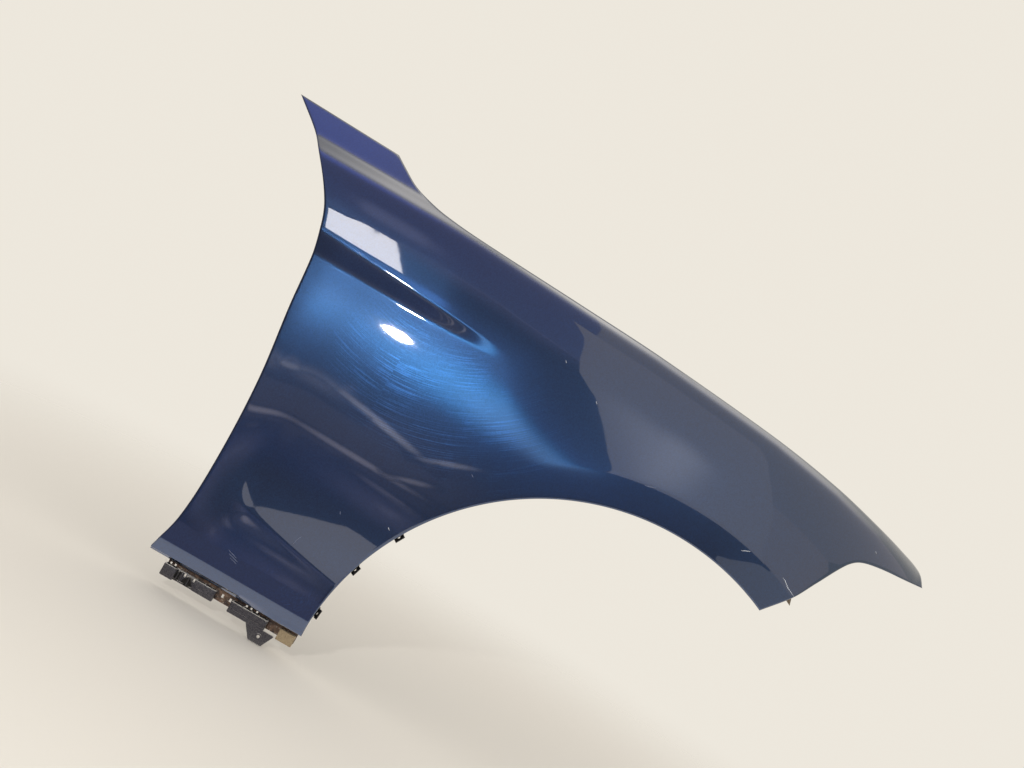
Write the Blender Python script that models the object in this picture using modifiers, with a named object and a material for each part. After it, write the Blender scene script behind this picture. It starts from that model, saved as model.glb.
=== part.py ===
"""Right-hand front fender of a passenger car.

One pressed steel skin carries everything: the outer panel with its shoulder, its stepped character
line, its wheel-arch flare and its tucked sill, and the folded flanges round its edge. Two moulded
sill holders, a rubber end pad, three arch clip nuts and a small bumper bracket sit on the flanges.

The shape is worked out about the wheel centre, with X forward, Y inboard and Z up, in metres. The
pieces hang on an empty that puts the origin on the seat of the sill flange.
"""
import math

import bmesh
import bpy
from mathutils import Vector

COLLECTION = "car_fender"

# Sheet and folds
SHEET = 0.0009
FOLD_RADIUS = 0.0025
SEAT_GAP = 0.0003

# Outline seen from the side, as (X, Z) from the wheel centre
ARCH_RADIUS = 0.361
ARCH_FRONT_ANGLE = math.radians(66.0)
SILL_Z = -0.006
DOOR_EDGE = [(-0.596, SILL_Z), (-0.579, 0.055), (-0.574, 0.150), (-0.578, 0.263), (-0.592, 0.368),
             (-0.6045, 0.4595), (-0.624, 0.512), (-0.683, 0.581), (-0.746, 0.630)]
HORN_KINK = (-0.583, 0.624)
HOOD_EDGE = [HORN_KINK, (-0.561, 0.610), (-0.537, 0.596), (-0.5125, 0.5875), (-0.480, 0.580),
             (-0.422, 0.574), (-0.262, 0.5663), (-0.130, 0.5594), (0.068, 0.541), (0.178, 0.525),
             (0.260, 0.508), (0.308, 0.497), (0.352, 0.4835), (0.364, 0.4655)]
BUMPER_EDGE = [(0.181, 0.368), (0.2006, 0.3976), (0.2287, 0.438), (0.2467, 0.4515),
               (0.2806, 0.4585), (0.330, 0.4625), (0.364, 0.4655)]
MIDDLE_LINE = [(-0.6045, 0.4595), (-0.262, 0.4515), (0.0, 0.447), (0.120, 0.430), (0.2006, 0.3976)]
ARCH_SPLIT_ANGLE = math.radians(135.0)

# Crown of the panel, with its widest point at waist height
WAIST_Z = 0.270
CROWN_RADIUS = 1.10
DOOR_DRIFT = 0.035
DOOR_DRIFT_X = -0.300
DOOR_DRIFT_ROUND = 0.120
NOSE_START_X = 0.020
NOSE_RADIUS = 0.475

# Shoulder, as heights of the line that the hood edge follows
SHOULDER_LINE = [(-0.760, 0.5760), (-0.480, 0.5755), (-0.422, 0.5740), (-0.293, 0.5678),
                 (-0.130, 0.5594), (0.068, 0.541), (0.178, 0.525), (0.260, 0.508), (0.352, 0.4835)]
SHOULDER_LEAN = 0.40
SHOULDER_REACH = 0.100
SHOULDER_TURN = 1.4
SHOULDER_HALF_BAND = 0.007
SHOULDER_ROUND = 0.010
HORN_STEP = 0.012
HORN_TURN = 1.0
HORN_ROUND = 0.004

# Stepped character line behind the wheel
STEP_SLOPE = 0.35
STEP_LOWER_Z = 0.4445
STEP_UPPER_Z = 0.476
STEP_UPPER_FALL = 0.060
STEP_LOWER_ROUND = 0.003
STEP_UPPER_ROUND = 0.002
STEP_FADE = (-0.430, -0.290)
DOOR_X = -0.600

# Wheel-arch flare, sill tuck and the body line above the sill
FLARE_WIDTH = 0.045
FLARE_SLOPE = 0.14
FLARE_ROUND = 0.003
FLARE_BLEND = 0.100
FLARE_BLEND_ROUND = 0.060
FLARE_FADE = (100.0, 125.0)
SILL_CREASE_Z = 0.024
SILL_TUCK = 0.45
SILL_ROUND = 0.002
BODY_LINE_Z = 0.110
BODY_LINE_X = -0.524
BODY_LINE_FALL = 0.176
BODY_LINE_SLOPE = 0.20
BODY_LINE_ROUND = 0.004
BODY_LINE_BLEND = 0.080
BODY_LINE_FADE = (-0.585, -0.500)

# Folded flanges
ARCH_FLANGE = 0.020
ARCH_FLANGE_END = 0.018
DOOR_FLANGE = 0.010
BUMPER_FLANGE = 0.010
HORN_FLANGE = 0.005
HORN_LIP = 0.008
RAIL_WIDTH = 0.005
RAIL_DROP = 0.018
RAIL_FLANGE = 0.026
RAIL_SPAN = (-0.420, 0.250)
RAIL_HOLES = (-0.345, -0.120, 0.110)
RAIL_HOLE_SHARE = 0.55
SILL_FLANGE_Y = 0.052
SILL_FLANGE_DROP = 0.018
SILL_SPAN = (0.028, 0.232)
SILL_SLOTS = (0.059, 0.073, 0.116, 0.126)
SLOT_WIDTH = 0.003
SLOT_HEIGHT = 0.005
DOOR_TAB_Z = 0.245
DOOR_TAB = 0.028
BOLT_HOLE = 0.0085
PAD_HOLE = 0.0065
HOLE_CUT = 0.012
SLOT_CUT = 0.060

# Sill holders and end pad, by distance forward of the rear corner of the sill
HOLDER_TOP = 0.0055
HOLDER_FLOOR = 0.0035
HOOK_WALL = 0.0020
HOOK_RISE = 0.0045
REAR_BOX = (0.028, 0.047)
REAR_BOX_DEPTH = 0.0125
REAR_BOX_FLOOR = 0.0045
STRIP = (0.046, 0.076)
STRIP_DEPTH = 0.006
STRIP_FLOOR = 0.002
RAISED_BOX = (0.075, 0.107)
RAISED_BOX_DEPTH = 0.010
FRONT_BOX = (0.131, 0.187)
FRONT_BOX_DEPTH = 0.0125
LUG_TOP = (0.161, 0.203)
LUG_BOTTOM = (0.174, 0.194)
LUG_DROP = 0.018
LUG_THICK = 0.004
LUG_HOLE = 0.0045
LUG_HOLE_X = 0.185
LUG_HOLE_DROP = 0.008
END_PAD = (0.2055, 0.2295)
END_PAD_DEPTH = 0.011

# Clip nuts on the arch flange, by angle from straight ahead
CLIP_ANGLES = (150.8, 162.5, 174.9)
CLIP_GAP = 0.0005
CLIP_END_GAP = 0.0016
CLIP_WIDTH = 0.014
CLIP_SHEET = 0.0010
CLIP_REACH = 0.014
CLIP_TONGUE = 0.0045
CLIP_BEND = (0.0010, 0.0004)
CLIP_HOLE_IN = 0.0075
BARREL_RADIUS = 0.0042
BARREL_HEIGHT = 0.0055
SCREW_BORE = 0.0048

# Bumper bracket hooked over the flange of the front lower edge
BRACKET_SHEET = 0.0012
BRACKET_LENGTH = 0.020
BRACKET_LEG = 0.0075
BRACKET_GAP = 0.0004
BRACKET_TIP = 0.011
BRACKET_TIP_WIDTH = 0.010
BRACKET_SHARE = 0.52
BRACKET_AIM = 0.02
BRACKET_TESTS = 24

# Divisions of the skin, as shares of each patch, and the points that round each folded edge
REAR_COLUMNS = 16
FRONT_COLUMNS = 26
HORN_COLUMNS = 5
SILL_ROWS = (0.06, 0.10, 0.14, 0.21, 0.28, 0.34, 0.40, 0.46, 0.53, 0.60, 0.67, 0.74, 0.81, 0.87, 0.93)
WAIST_ROWS = (0.0, 0.11, 0.21, 0.31, 0.41, 0.48, 0.53, 0.60, 0.70, 0.80, 0.88, 0.94, 0.975)
TOP_ROWS = (0.0, 0.05, 0.10, 0.16, 0.26, 0.37, 0.47, 0.55, 0.61, 0.66, 0.71, 0.77, 0.84, 0.91)
DOOR_TAB_ROWS = 3
FOLD_STEPS = 2
FOLD_MIDDLE = 0.3


def soft_ramp(distance, rounding):
    """Zero below nought and the distance above it, with the bend rounded."""
    return 0.5 * (distance + math.hypot(distance, rounding))


def fade(start, end, value):
    """Smooth change from 0 at the start to 1 at the end."""
    share = min(max((value - start) / (end - start), 0.0), 1.0)
    return share * share * (3.0 - 2.0 * share)


def height_on(line, x):
    """Height of a line of (X, Z) points at X, level past its ends."""
    if x <= line[0][0]:
        return line[0][1]
    for (x0, z0), (x1, z1) in zip(line, line[1:]):
        if x <= x1:
            return z0 + (z1 - z0) * (x - x0) / (x1 - x0)
    return line[-1][1]


def panel_depth(x, z):
    """How far inboard the outer face lies at a place seen from the side."""
    depth = (z - WAIST_Z) ** 2 / (2.0 * CROWN_RADIUS)
    depth += DOOR_DRIFT * (soft_ramp(DOOR_DRIFT_X - x, DOOR_DRIFT_ROUND)
                           - soft_ramp(DOOR_DRIFT_X, DOOR_DRIFT_ROUND))
    depth += max(x - NOSE_START_X, 0.0) ** 2 / (2.0 * NOSE_RADIUS)

    over_shoulder = z - height_on(SHOULDER_LINE, x)
    lean = max(1.0 + min(over_shoulder, 0.0) / SHOULDER_REACH, 0.0)
    depth += SHOULDER_LEAN * (lean * lean * SHOULDER_REACH / 2.0 + max(over_shoulder, 0.0))
    depth += SHOULDER_TURN * soft_ramp(over_shoulder + SHOULDER_HALF_BAND, SHOULDER_ROUND)
    depth -= HORN_TURN * soft_ramp(over_shoulder - HORN_STEP, HORN_ROUND)

    upper = STEP_UPPER_Z - STEP_UPPER_FALL * (x - DOOR_X)
    step = soft_ramp(z - STEP_LOWER_Z, STEP_LOWER_ROUND) - soft_ramp(z - upper, STEP_UPPER_ROUND)
    depth -= STEP_SLOPE * (1.0 - fade(*STEP_FADE, x)) * step

    radius = math.hypot(x, z) - ARCH_RADIUS - FLARE_WIDTH
    flare = soft_ramp(radius, FLARE_ROUND) - soft_ramp(radius - FLARE_BLEND, FLARE_BLEND_ROUND)
    depth += FLARE_SLOPE * (1.0 - fade(*FLARE_FADE, math.degrees(math.atan2(z, x)))) * flare

    depth += SILL_TUCK * soft_ramp(SILL_CREASE_Z - z, SILL_ROUND)
    line = BODY_LINE_Z - BODY_LINE_FALL * (x - BODY_LINE_X)
    rounding = BODY_LINE_ROUND + BODY_LINE_BLEND * (1.0 - fade(*BODY_LINE_FADE, x))
    depth -= BODY_LINE_SLOPE * soft_ramp(line - z, rounding)
    return depth


def smooth_line(points, first=0, last=-1):
    """Function that runs from 0 to 1 along a smooth curve, between two of its (X, Z) points."""
    knots = [Vector(point) for point in points]
    lengths = [0.0]
    for start, end in zip(knots, knots[1:]):
        lengths.append(lengths[-1] + (end - start).length)
    ends = [2.0 * knots[0] - knots[1]] + knots + [2.0 * knots[-1] - knots[-2]]

    def place(share):
        along = lengths[first] + share * (lengths[last] - lengths[first])
        index = 0
        while index < len(knots) - 2 and along > lengths[index + 1]:
            index += 1
        before, start, end, after = ends[index:index + 4]
        gap = lengths[index + 1] - lengths[index]
        t = (along - lengths[index]) / gap
        pull_start = (end - before) * gap / ((start - before).length + gap)
        pull_end = (after - start) * gap / ((after - end).length + gap)
        return ((2 * t ** 3 - 3 * t ** 2 + 1) * start + (t ** 3 - 2 * t ** 2 + t) * pull_start
                + (3 * t ** 2 - 2 * t ** 3) * end + (t ** 3 - t ** 2) * pull_end)

    return place


def straight_then(first, second, share_of_first):
    """Function that runs along the first curve and then along the second."""
    def place(share):
        if share <= share_of_first:
            return first(share / share_of_first)
        return second((share - share_of_first) / (1.0 - share_of_first))

    return place


def straight_line(start, end):
    """Function that runs straight from one place to another."""
    return lambda share: Vector(start).lerp(Vector(end), share)


def arch_point(angle):
    """Place on the wheel arch in the side view."""
    return Vector((ARCH_RADIUS * math.cos(angle), ARCH_RADIUS * math.sin(angle)))


def patch(bottom, top, left, right):
    """Surface between four edge curves that meet at their ends."""
    def place(u, v):
        across = bottom(u) * (1 - v) + top(u) * v
        along = left(v) * (1 - u) + right(v) * u
        low = bottom(0.0).lerp(bottom(1.0), u)
        high = top(0.0).lerp(top(1.0), u)
        return across + along - low.lerp(high, v)

    return place


FRONT_EDGE = [tuple(arch_point(ARCH_FRONT_ANGLE))] + BUMPER_EDGE
SILL_REAR = Vector(DOOR_EDGE[0])
ARCH_REAR_ANGLE = math.pi - math.asin(SILL_Z / ARCH_RADIUS)
SILL_FRONT = arch_point(ARCH_REAR_ANGLE)
SILL_SEAT = 0.5 * (FRONT_BOX[1] + END_PAD[0])
SLOT_Z = SILL_Z - 0.5 * SILL_FLANGE_DROP
DATUM = Vector((SILL_REAR.x + SILL_SEAT, SILL_FLANGE_Y + SHEET, SLOT_Z))


def arch_line(start, end):
    """Function that runs along the wheel arch between two angles."""
    return lambda share: arch_point(start + (end - start) * share)


def fold_depth(distance):
    """Extra depth where the skin rolls over into a flange."""
    inside = max(FOLD_RADIUS - distance, 0.0)
    return FOLD_RADIUS - math.sqrt(FOLD_RADIUS ** 2 - inside ** 2)


def rolled(inner, length, at_start, at_end):
    """Shares along a grid line of a length, with two more where an edge rolls over."""
    roll = FOLD_RADIUS / length
    start = [0.0, FOLD_MIDDLE * roll, roll] if at_start else []
    end = [1.0 - roll, 1.0 - FOLD_MIDDLE * roll, 1.0] if at_end else []
    low = roll if at_start else 0.0
    high = 1.0 - roll if at_end else 1.0
    between = [low + (high - low) * share for share in inner if share > 0.0 or not at_start]
    return start + between + end


def skin_patches():
    """The five patches of the side view, rear ones first, each from the sill or arch up."""
    junction = arch_point(ARCH_SPLIT_ANGLE)
    middle_split = Vector(MIDDLE_LINE[1])
    hood_split = HOOD_EDGE[6]
    waist = straight_line(DOOR_EDGE[3], junction)
    rear_middle = smooth_line(MIDDLE_LINE, 0, 1)
    front_middle = smooth_line(MIDDLE_LINE, 1)
    horn_top = straight_line(DOOR_EDGE[-1], HORN_KINK)
    rear_top = straight_then(horn_top, smooth_line(HOOD_EDGE, 0, 6), HORN_COLUMNS / REAR_COLUMNS)
    over_arch = straight_line(junction, middle_split)
    over_middle = straight_line(middle_split, hood_split)
    sill = patch(straight_line(SILL_REAR, SILL_FRONT), waist, smooth_line(DOOR_EDGE, 0, 3),
                 arch_line(ARCH_REAR_ANGLE, ARCH_SPLIT_ANGLE))
    rear = patch(waist, rear_middle, smooth_line(DOOR_EDGE, 3, 5), over_arch)
    horn = patch(rear_middle, rear_top, smooth_line(DOOR_EDGE, 5), over_middle)
    front = patch(arch_line(ARCH_SPLIT_ANGLE, ARCH_FRONT_ANGLE), front_middle, over_arch,
                  smooth_line(FRONT_EDGE, 0, 2))
    nose = patch(front_middle, smooth_line(HOOD_EDGE, 6), over_middle, smooth_line(FRONT_EDGE, 2))
    return (sill, rear, horn), (front, nose)


def skin_grid():
    """Rear and front grids of side-view places: rows from the bottom up, columns from the door."""
    rear_patches, front_patches = skin_patches()
    sill_length = SILL_FRONT.x - SILL_REAR.x
    arch_length = ARCH_RADIUS * (ARCH_SPLIT_ANGLE - ARCH_FRONT_ANGLE)
    sill_height = DOOR_EDGE[3][1] - SILL_Z
    front_height = (Vector(FRONT_EDGE[2]) - Vector(FRONT_EDGE[0])).length
    top_height = HOOD_EDGE[6][1] - MIDDLE_LINE[1][1]
    rear_shares = [column / REAR_COLUMNS for column in range(1, REAR_COLUMNS)]
    rear_shares = rolled(rear_shares, sill_length, True, True)
    front_shares = [column / FRONT_COLUMNS for column in range(FRONT_COLUMNS)]
    front_shares = rolled(front_shares, arch_length, False, True)
    heights = (rolled(SILL_ROWS, sill_height, True, False), rolled(WAIST_ROWS, front_height, True, False),
               rolled(TOP_ROWS, top_height, False, True))
    rear = [[face(u, v) for u in rear_shares] for face, rows in zip(rear_patches, heights) for v in rows]
    front = [[face(u, v) for u in front_shares] for face, rows in zip(front_patches, heights[1:])
             for v in rows]
    return rear, front, len(heights[0])


def skin_points():
    """The grids as points of the outer face, rolled over at the edges."""
    rear, front, first_front = skin_grid()
    door = [row[0] for row in rear]
    arch = [row[-1] for row in rear[:first_front]] + front[0]
    top = rear[-1] + front[-1]
    bumper = [row[-1] for row in front]
    rims = (door, arch, top, rear[0], bumper)

    def face_point(place):
        gap = min(gap_to(place, rim) for rim in rims)
        return Vector((place.x, panel_depth(*place) + fold_depth(gap), place.y))

    return ([[face_point(place) for place in row] for row in rear],
            [[face_point(place) for place in row] for row in front], first_front)


def gap_to(place, line):
    """Distance from a place to a line of points."""
    least = (place - line[0]).length
    for start, end in zip(line, line[1:]):
        along = end - start
        if along.length > 0.0:
            share = min(max((place - start).dot(along) / along.length_squared, 0.0), 1.0)
            least = min(least, (place - start - along * share).length)
    return least


class Edge:
    """A line of vertices along the rim of the skin, with the points just inside it."""

    def __init__(self, line, inside):
        self.line = line
        self.inside = inside

    def within(self, test):
        """The stretch whose vertices pass the test."""
        keep = [index for index, vertex in enumerate(self.line) if test(vertex.co)]
        return Edge([self.line[index] for index in keep], [self.inside[index] for index in keep])

    def from_height(self, height, count):
        """So many vertices, from the first one above a height."""
        first = next(index for index, vertex in enumerate(self.line) if vertex.co.z > height)
        return Edge(self.line[first:first + count], self.inside[first:first + count])

    def clear_of_ends(self, point, distance):
        """Whether a point lies further than this from both ends."""
        return min((point - self.line[end].co).length for end in (0, -1)) > distance

    def outward(self, index):
        """Direction in the side view that points out of the panel at a vertex."""
        before = self.line[max(index - 1, 0)].co
        after = self.line[min(index + 1, len(self.line) - 1)].co
        along = Vector((after.x - before.x, 0.0, after.z - before.z)).normalized()
        normal = Vector((-along.z, 0.0, along.x))
        return -normal if normal.dot(self.inside[index] - self.line[index].co) > 0.0 else normal

    def fold(self, skin, steps):
        """Extrudes the line through steps of (outward, inboard) moves and returns its last edge."""
        ways = [self.outward(index) for index in range(len(self.line))]
        base = [vertex.co.copy() for vertex in self.line]
        line = self.line
        for out, inboard in steps:
            edges = [skin.edges.get(pair) for pair in zip(line, line[1:])]
            made = bmesh.ops.extrude_edge_only(skin, edges=edges)["geom"]
            twins = {vertex.co.copy().freeze(): vertex for vertex in made
                     if isinstance(vertex, bmesh.types.BMVert)}
            line = [twins[vertex.co.copy().freeze()] for vertex in line]
            for vertex, start, way in zip(line, base, ways):
                depth = inboard(start) if callable(inboard) else start.y + inboard
                vertex.co = Vector((start.x, depth, start.z)) + way * out
        return Edge(line, self.inside)


def skin_surface():
    """The open surface of the skin with its flanges, faces pointing outboard."""
    skin = bmesh.new()
    rear_points, front_points, first_front = skin_points()
    rear = [[skin.verts.new(point) for point in row] for row in rear_points]
    front = [[skin.verts.new(point) for point in row[1:]] for row in front_points]
    front = [[shared[-1]] + row for shared, row in zip(rear[first_front:], front)]
    for grid in (rear, front):
        for row, above in zip(grid, grid[1:]):
            for corners in zip(row, row[1:], above[1:], above):
                skin.faces.new(corners)

    inner = FOLD_STEPS
    sill = Edge(rear[0], [v.co.copy() for v in rear[inner]])
    arch = Edge([row[-1] for row in rear[:first_front]] + front[0],
                [row[-1 - inner].co.copy() for row in rear[:first_front]]
                + [v.co.copy() for v in front[inner]])
    door = Edge([row[0] for row in rear], [row[inner].co.copy() for row in rear])
    bumper = Edge([row[-1] for row in front], [row[-1 - inner].co.copy() for row in front])
    top = Edge(rear[-1] + front[-1][1:],
               [v.co.copy() for v in rear[-1 - inner] + front[-1 - inner][1:]])
    kink = Vector((HORN_KINK[0], 0.0, HORN_KINK[1]))

    start, end = (SILL_REAR.x + distance for distance in SILL_SPAN)
    sill.within(lambda p: start < p.x < end).fold(skin, [
        (0.0, lambda p: SILL_FLANGE_Y - FOLD_RADIUS),
        (FOLD_MIDDLE * FOLD_RADIUS, lambda p: SILL_FLANGE_Y - FOLD_MIDDLE * FOLD_RADIUS),
        (FOLD_RADIUS, lambda p: SILL_FLANGE_Y),
        (SILL_FLANGE_DROP, lambda p: SILL_FLANGE_Y)])
    arch.within(lambda p: arch.clear_of_ends(p, ARCH_FLANGE_END)).fold(skin, [(0.0, ARCH_FLANGE)])
    lip = door.within(lambda p: SILL_CREASE_Z < p.z < HORN_KINK[1] - RAIL_DROP)
    lip = lip.fold(skin, [(0.0, DOOR_FLANGE)])
    lip.from_height(DOOR_TAB_Z, DOOR_TAB_ROWS).fold(skin, [(0.0, DOOR_TAB)])
    lower = bumper.within(lambda p: bumper.clear_of_ends(p, 2.0 * BUMPER_FLANGE))
    lower.fold(skin, [(0.0, BUMPER_FLANGE)])
    top.within(lambda p: p.x < kink.x - HORN_LIP and p.x > DOOR_EDGE[-1][0] + 2.0 * HORN_LIP).fold(
        skin, [(0.0, HORN_FLANGE), (-HORN_LIP, HORN_FLANGE)])
    top.within(lambda p: RAIL_SPAN[0] < p.x < RAIL_SPAN[1]).fold(
        skin, [(0.0, RAIL_WIDTH), (-RAIL_DROP, RAIL_WIDTH), (-RAIL_DROP, RAIL_WIDTH + RAIL_FLANGE)])

    bmesh.ops.recalc_face_normals(skin, faces=skin.faces)
    broadest = max(skin.faces, key=lambda face: face.calc_area())
    if broadest.normal.y > 0.0:
        bmesh.ops.reverse_faces(skin, faces=skin.faces)
    return skin


def material(name, colour, roughness, metallic):
    """A plain Principled material."""
    made = bpy.data.materials.new(name)
    made.use_nodes = True
    shader = made.node_tree.nodes["Principled BSDF"]
    shader.inputs["Base Color"].default_value = (*colour, 1.0)
    shader.inputs["Roughness"].default_value = roughness
    shader.inputs["Metallic"].default_value = metallic
    return made


def collection(name):
    """A collection in the scene."""
    made = bpy.data.collections.new(name)
    bpy.context.scene.collection.children.link(made)
    return made


def piece(name, mesh, group, datum, finish=None):
    """An object from a bmesh, hung on the datum."""
    data = bpy.data.meshes.new(name)
    mesh.to_mesh(data)
    mesh.free()
    made = bpy.data.objects.new(name, data)
    group.objects.link(made)
    made.parent = datum
    if finish:
        data.materials.append(finish)
    return made


def sheet(made, thickness, offset):
    """Gives an open surface its thickness, inward for -1 and outward for 1."""
    shell = made.modifiers.new("sheet", "SOLIDIFY")
    shell.thickness = thickness
    shell.offset = offset
    shell.use_even_offset = True


def block(low, high):
    """A box between two corners, as a bmesh."""
    mesh = bmesh.new()
    bmesh.ops.create_cube(mesh, size=1.0)
    for vertex in mesh.verts:
        vertex.co = Vector([lo + (hi - lo) * (0.5 + c) for lo, hi, c in zip(low, high, vertex.co)])
    return mesh


def rod(centre, along, radius, length, segments=16):
    """A round bar about a centre, as a bmesh."""
    mesh = bmesh.new()
    turn = Vector((0.0, 0.0, 1.0)).rotation_difference(along).to_matrix().to_4x4()
    turn.translation = centre
    bmesh.ops.create_cone(mesh, cap_ends=True, segments=segments, radius1=radius, radius2=radius,
                          depth=length, matrix=turn)
    return mesh


def extrusion(outline, move):
    """A flat outline pushed out along a move, as a bmesh."""
    mesh = bmesh.new()
    face = mesh.faces.new([mesh.verts.new(point) for point in outline])
    pushed = bmesh.ops.extrude_face_region(mesh, geom=[face])["geom"]
    bmesh.ops.translate(mesh, vec=move, verts=[v for v in pushed if isinstance(v, bmesh.types.BMVert)])
    bmesh.ops.recalc_face_normals(mesh, faces=mesh.faces)
    return mesh


def boolean(target, operation, others):
    """Joins other pieces to the target or cuts them out of it; they stay as guides."""
    for other in others:
        other.hide_render = True
        other.display_type = "WIRE"
        step = target.modifiers.new(operation.lower(), "BOOLEAN")
        step.operation = operation
        step.object = other


def channel(span, depth, floor):
    """A moulded block in front of the sill flange that hooks under its lower edge."""
    start, end = (SILL_REAR.x + distance for distance in span)
    flange_end = SILL_Z - SILL_FLANGE_DROP
    top = SILL_Z - HOLDER_TOP
    low = flange_end - SEAT_GAP - floor
    face, back = SILL_FLANGE_Y - SEAT_GAP, SILL_FLANGE_Y + SHEET + SEAT_GAP
    outline = [(face - depth, top), (face - depth, low), (back + HOOK_WALL, low),
               (back + HOOK_WALL, flange_end + HOOK_RISE), (back, flange_end + HOOK_RISE),
               (back, flange_end - SEAT_GAP), (face, flange_end - SEAT_GAP), (face, top)]
    return extrusion([(start, y, z) for y, z in outline], Vector((end - start, 0.0, 0.0)))


def slot_cutters(name, distances, tools, datum):
    """Bars through the sill flange and what covers it."""
    half = 0.5 * Vector((SLOT_WIDTH, SLOT_CUT, SLOT_HEIGHT))
    places = [Vector((SILL_REAR.x + distance, SILL_FLANGE_Y, SLOT_Z)) for distance in distances]
    return [piece(f"{name}_{number}", block(place - half, place + half), tools, datum)
            for number, place in enumerate(places)]


def fender_skin(group, tools, datum, paint):
    """The pressed skin with its bolt holes, sill slots and clip holes."""
    skin = piece("fender_skin", skin_surface(), group, datum, paint)
    sheet(skin, SHEET, -1.0)
    cutters = []
    for number, x in enumerate(RAIL_HOLES):
        z = height_on(SHOULDER_LINE, x)
        y = panel_depth(x, z) + FOLD_RADIUS + RAIL_WIDTH + RAIL_HOLE_SHARE * RAIL_FLANGE
        bar = rod(Vector((x, y, z - RAIL_DROP)), Vector((0, 0, 1)), BOLT_HOLE / 2, HOLE_CUT)
        cutters.append(piece(f"rail_hole_{number}", bar, tools, datum))
    for number, angle in enumerate(CLIP_ANGLES):
        centre, out = clip_place(angle)
        bar = rod(centre, out, PAD_HOLE / 2, HOLE_CUT)
        cutters.append(piece(f"arch_hole_{number}", bar, tools, datum))
    cutters += slot_cutters("sill_slot", SILL_SLOTS, tools, datum)
    boolean(skin, "DIFFERENCE", cutters)
    return skin


def rear_sill_holder(group, tools, datum, plastic):
    """Moulded holder at the rear of the sill: an end box, a thin strip and a raised box."""
    holder = piece("rear_sill_holder", channel(REAR_BOX, REAR_BOX_DEPTH, REAR_BOX_FLOOR),
                   group, datum, plastic)
    strip = piece("rear_strip", channel(STRIP, STRIP_DEPTH, STRIP_FLOOR), tools, datum)
    raised = piece("rear_raised_box", channel(RAISED_BOX, RAISED_BOX_DEPTH, HOLDER_FLOOR), tools, datum)
    boolean(holder, "UNION", [strip, raised])
    boolean(holder, "DIFFERENCE", slot_cutters("rear_holder_slot", SILL_SLOTS[:2], tools, datum))
    return holder


def front_sill_holder(group, tools, datum, plastic):
    """Moulded holder at the front of the sill: one long box with a screw lug below it."""
    holder = piece("front_sill_holder", channel(FRONT_BOX, FRONT_BOX_DEPTH, HOLDER_FLOOR),
                   group, datum, plastic)
    face = SILL_FLANGE_Y - SEAT_GAP - FRONT_BOX_DEPTH
    low = SILL_Z - SILL_FLANGE_DROP - HOLDER_FLOOR
    outline = [(LUG_TOP[0], low + HOLDER_FLOOR / 2), (LUG_TOP[0], low), (LUG_BOTTOM[0], low - LUG_DROP),
               (LUG_BOTTOM[1], low - LUG_DROP), (LUG_TOP[1], low), (LUG_TOP[1], low + HOLDER_FLOOR / 2)]
    points = [(SILL_REAR.x + x, face + LUG_THICK, z) for x, z in outline]
    lug = piece("front_lug", extrusion(points, Vector((0.0, -LUG_THICK, 0.0))), tools, datum)
    centre = Vector((SILL_REAR.x + LUG_HOLE_X, face + LUG_THICK / 2, low - LUG_HOLE_DROP))
    bar = rod(centre, Vector((0, 1, 0)), LUG_HOLE / 2, 4.0 * LUG_THICK)
    boolean(holder, "UNION", [lug])
    boolean(holder, "DIFFERENCE", [piece("front_lug_hole", bar, tools, datum)])
    return holder


def sill_end_pad(group, datum, rubber):
    """Rubber block pushed over the front end of the sill flange."""
    return piece("sill_end_pad", channel(END_PAD, END_PAD_DEPTH, HOLDER_FLOOR), group, datum, rubber)


def clip_place(angle):
    """Middle of a clip nut's hole on the arch flange, and the way out from the wheel."""
    turn = math.radians(angle)
    edge = arch_point(turn)
    free_edge = panel_depth(edge.x, edge.y) + FOLD_RADIUS + ARCH_FLANGE
    out = Vector((math.cos(turn), 0.0, math.sin(turn)))
    return out * (ARCH_RADIUS + SHEET / 2) + Vector((0.0, free_edge - CLIP_HOLE_IN, 0.0)), out


def arch_clip_nut(number, angle, group, tools, datum, zinc):
    """Folded spring clip over the free edge of the arch flange, with a threaded barrel."""
    centre, out = clip_place(angle)
    along = out.cross(Vector((0.0, 1.0, 0.0)))
    lower = -SHEET / 2 - CLIP_GAP
    upper = SHEET / 2 + CLIP_GAP
    free = CLIP_HOLE_IN + CLIP_END_GAP
    back, side = CLIP_BEND
    profile = [(lower - CLIP_TONGUE, free - CLIP_REACH), (lower, free - CLIP_REACH + CLIP_TONGUE),
               (lower, free - back), (lower + side, free), (upper - side, free), (upper, free - back),
               (upper, free - CLIP_REACH)]
    strip = bmesh.new()
    line = [strip.verts.new(centre + out * rise + Vector((0, inboard, 0)) - along * CLIP_WIDTH / 2)
            for rise, inboard in profile]
    edges = [strip.edges.new(pair) for pair in zip(line, line[1:])]
    pushed = bmesh.ops.extrude_edge_only(strip, edges=edges)["geom"]
    far_side = [v for v in pushed if isinstance(v, bmesh.types.BMVert)]
    bmesh.ops.translate(strip, vec=along * CLIP_WIDTH, verts=far_side)
    bmesh.ops.recalc_face_normals(strip, faces=strip.faces)
    leg = max(strip.faces, key=lambda face: (face.calc_center_median() - centre).dot(out))
    if leg.normal.dot(out) < 0.0:
        bmesh.ops.reverse_faces(strip, faces=strip.faces)
    clip = piece(f"arch_clip_nut_{number}", strip, group, datum, zinc)
    sheet(clip, CLIP_SHEET, 1.0)
    base = upper + CLIP_SHEET / 2
    barrel = rod(centre + out * (base + BARREL_HEIGHT / 2), out, BARREL_RADIUS, BARREL_HEIGHT)
    bore = rod(centre, out, SCREW_BORE / 2, 4.0 * BARREL_HEIGHT)
    boolean(clip, "UNION", [piece(f"clip_barrel_{number}", barrel, tools, datum)])
    boolean(clip, "DIFFERENCE", [piece(f"clip_bore_{number}", bore, tools, datum)])
    return clip


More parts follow.
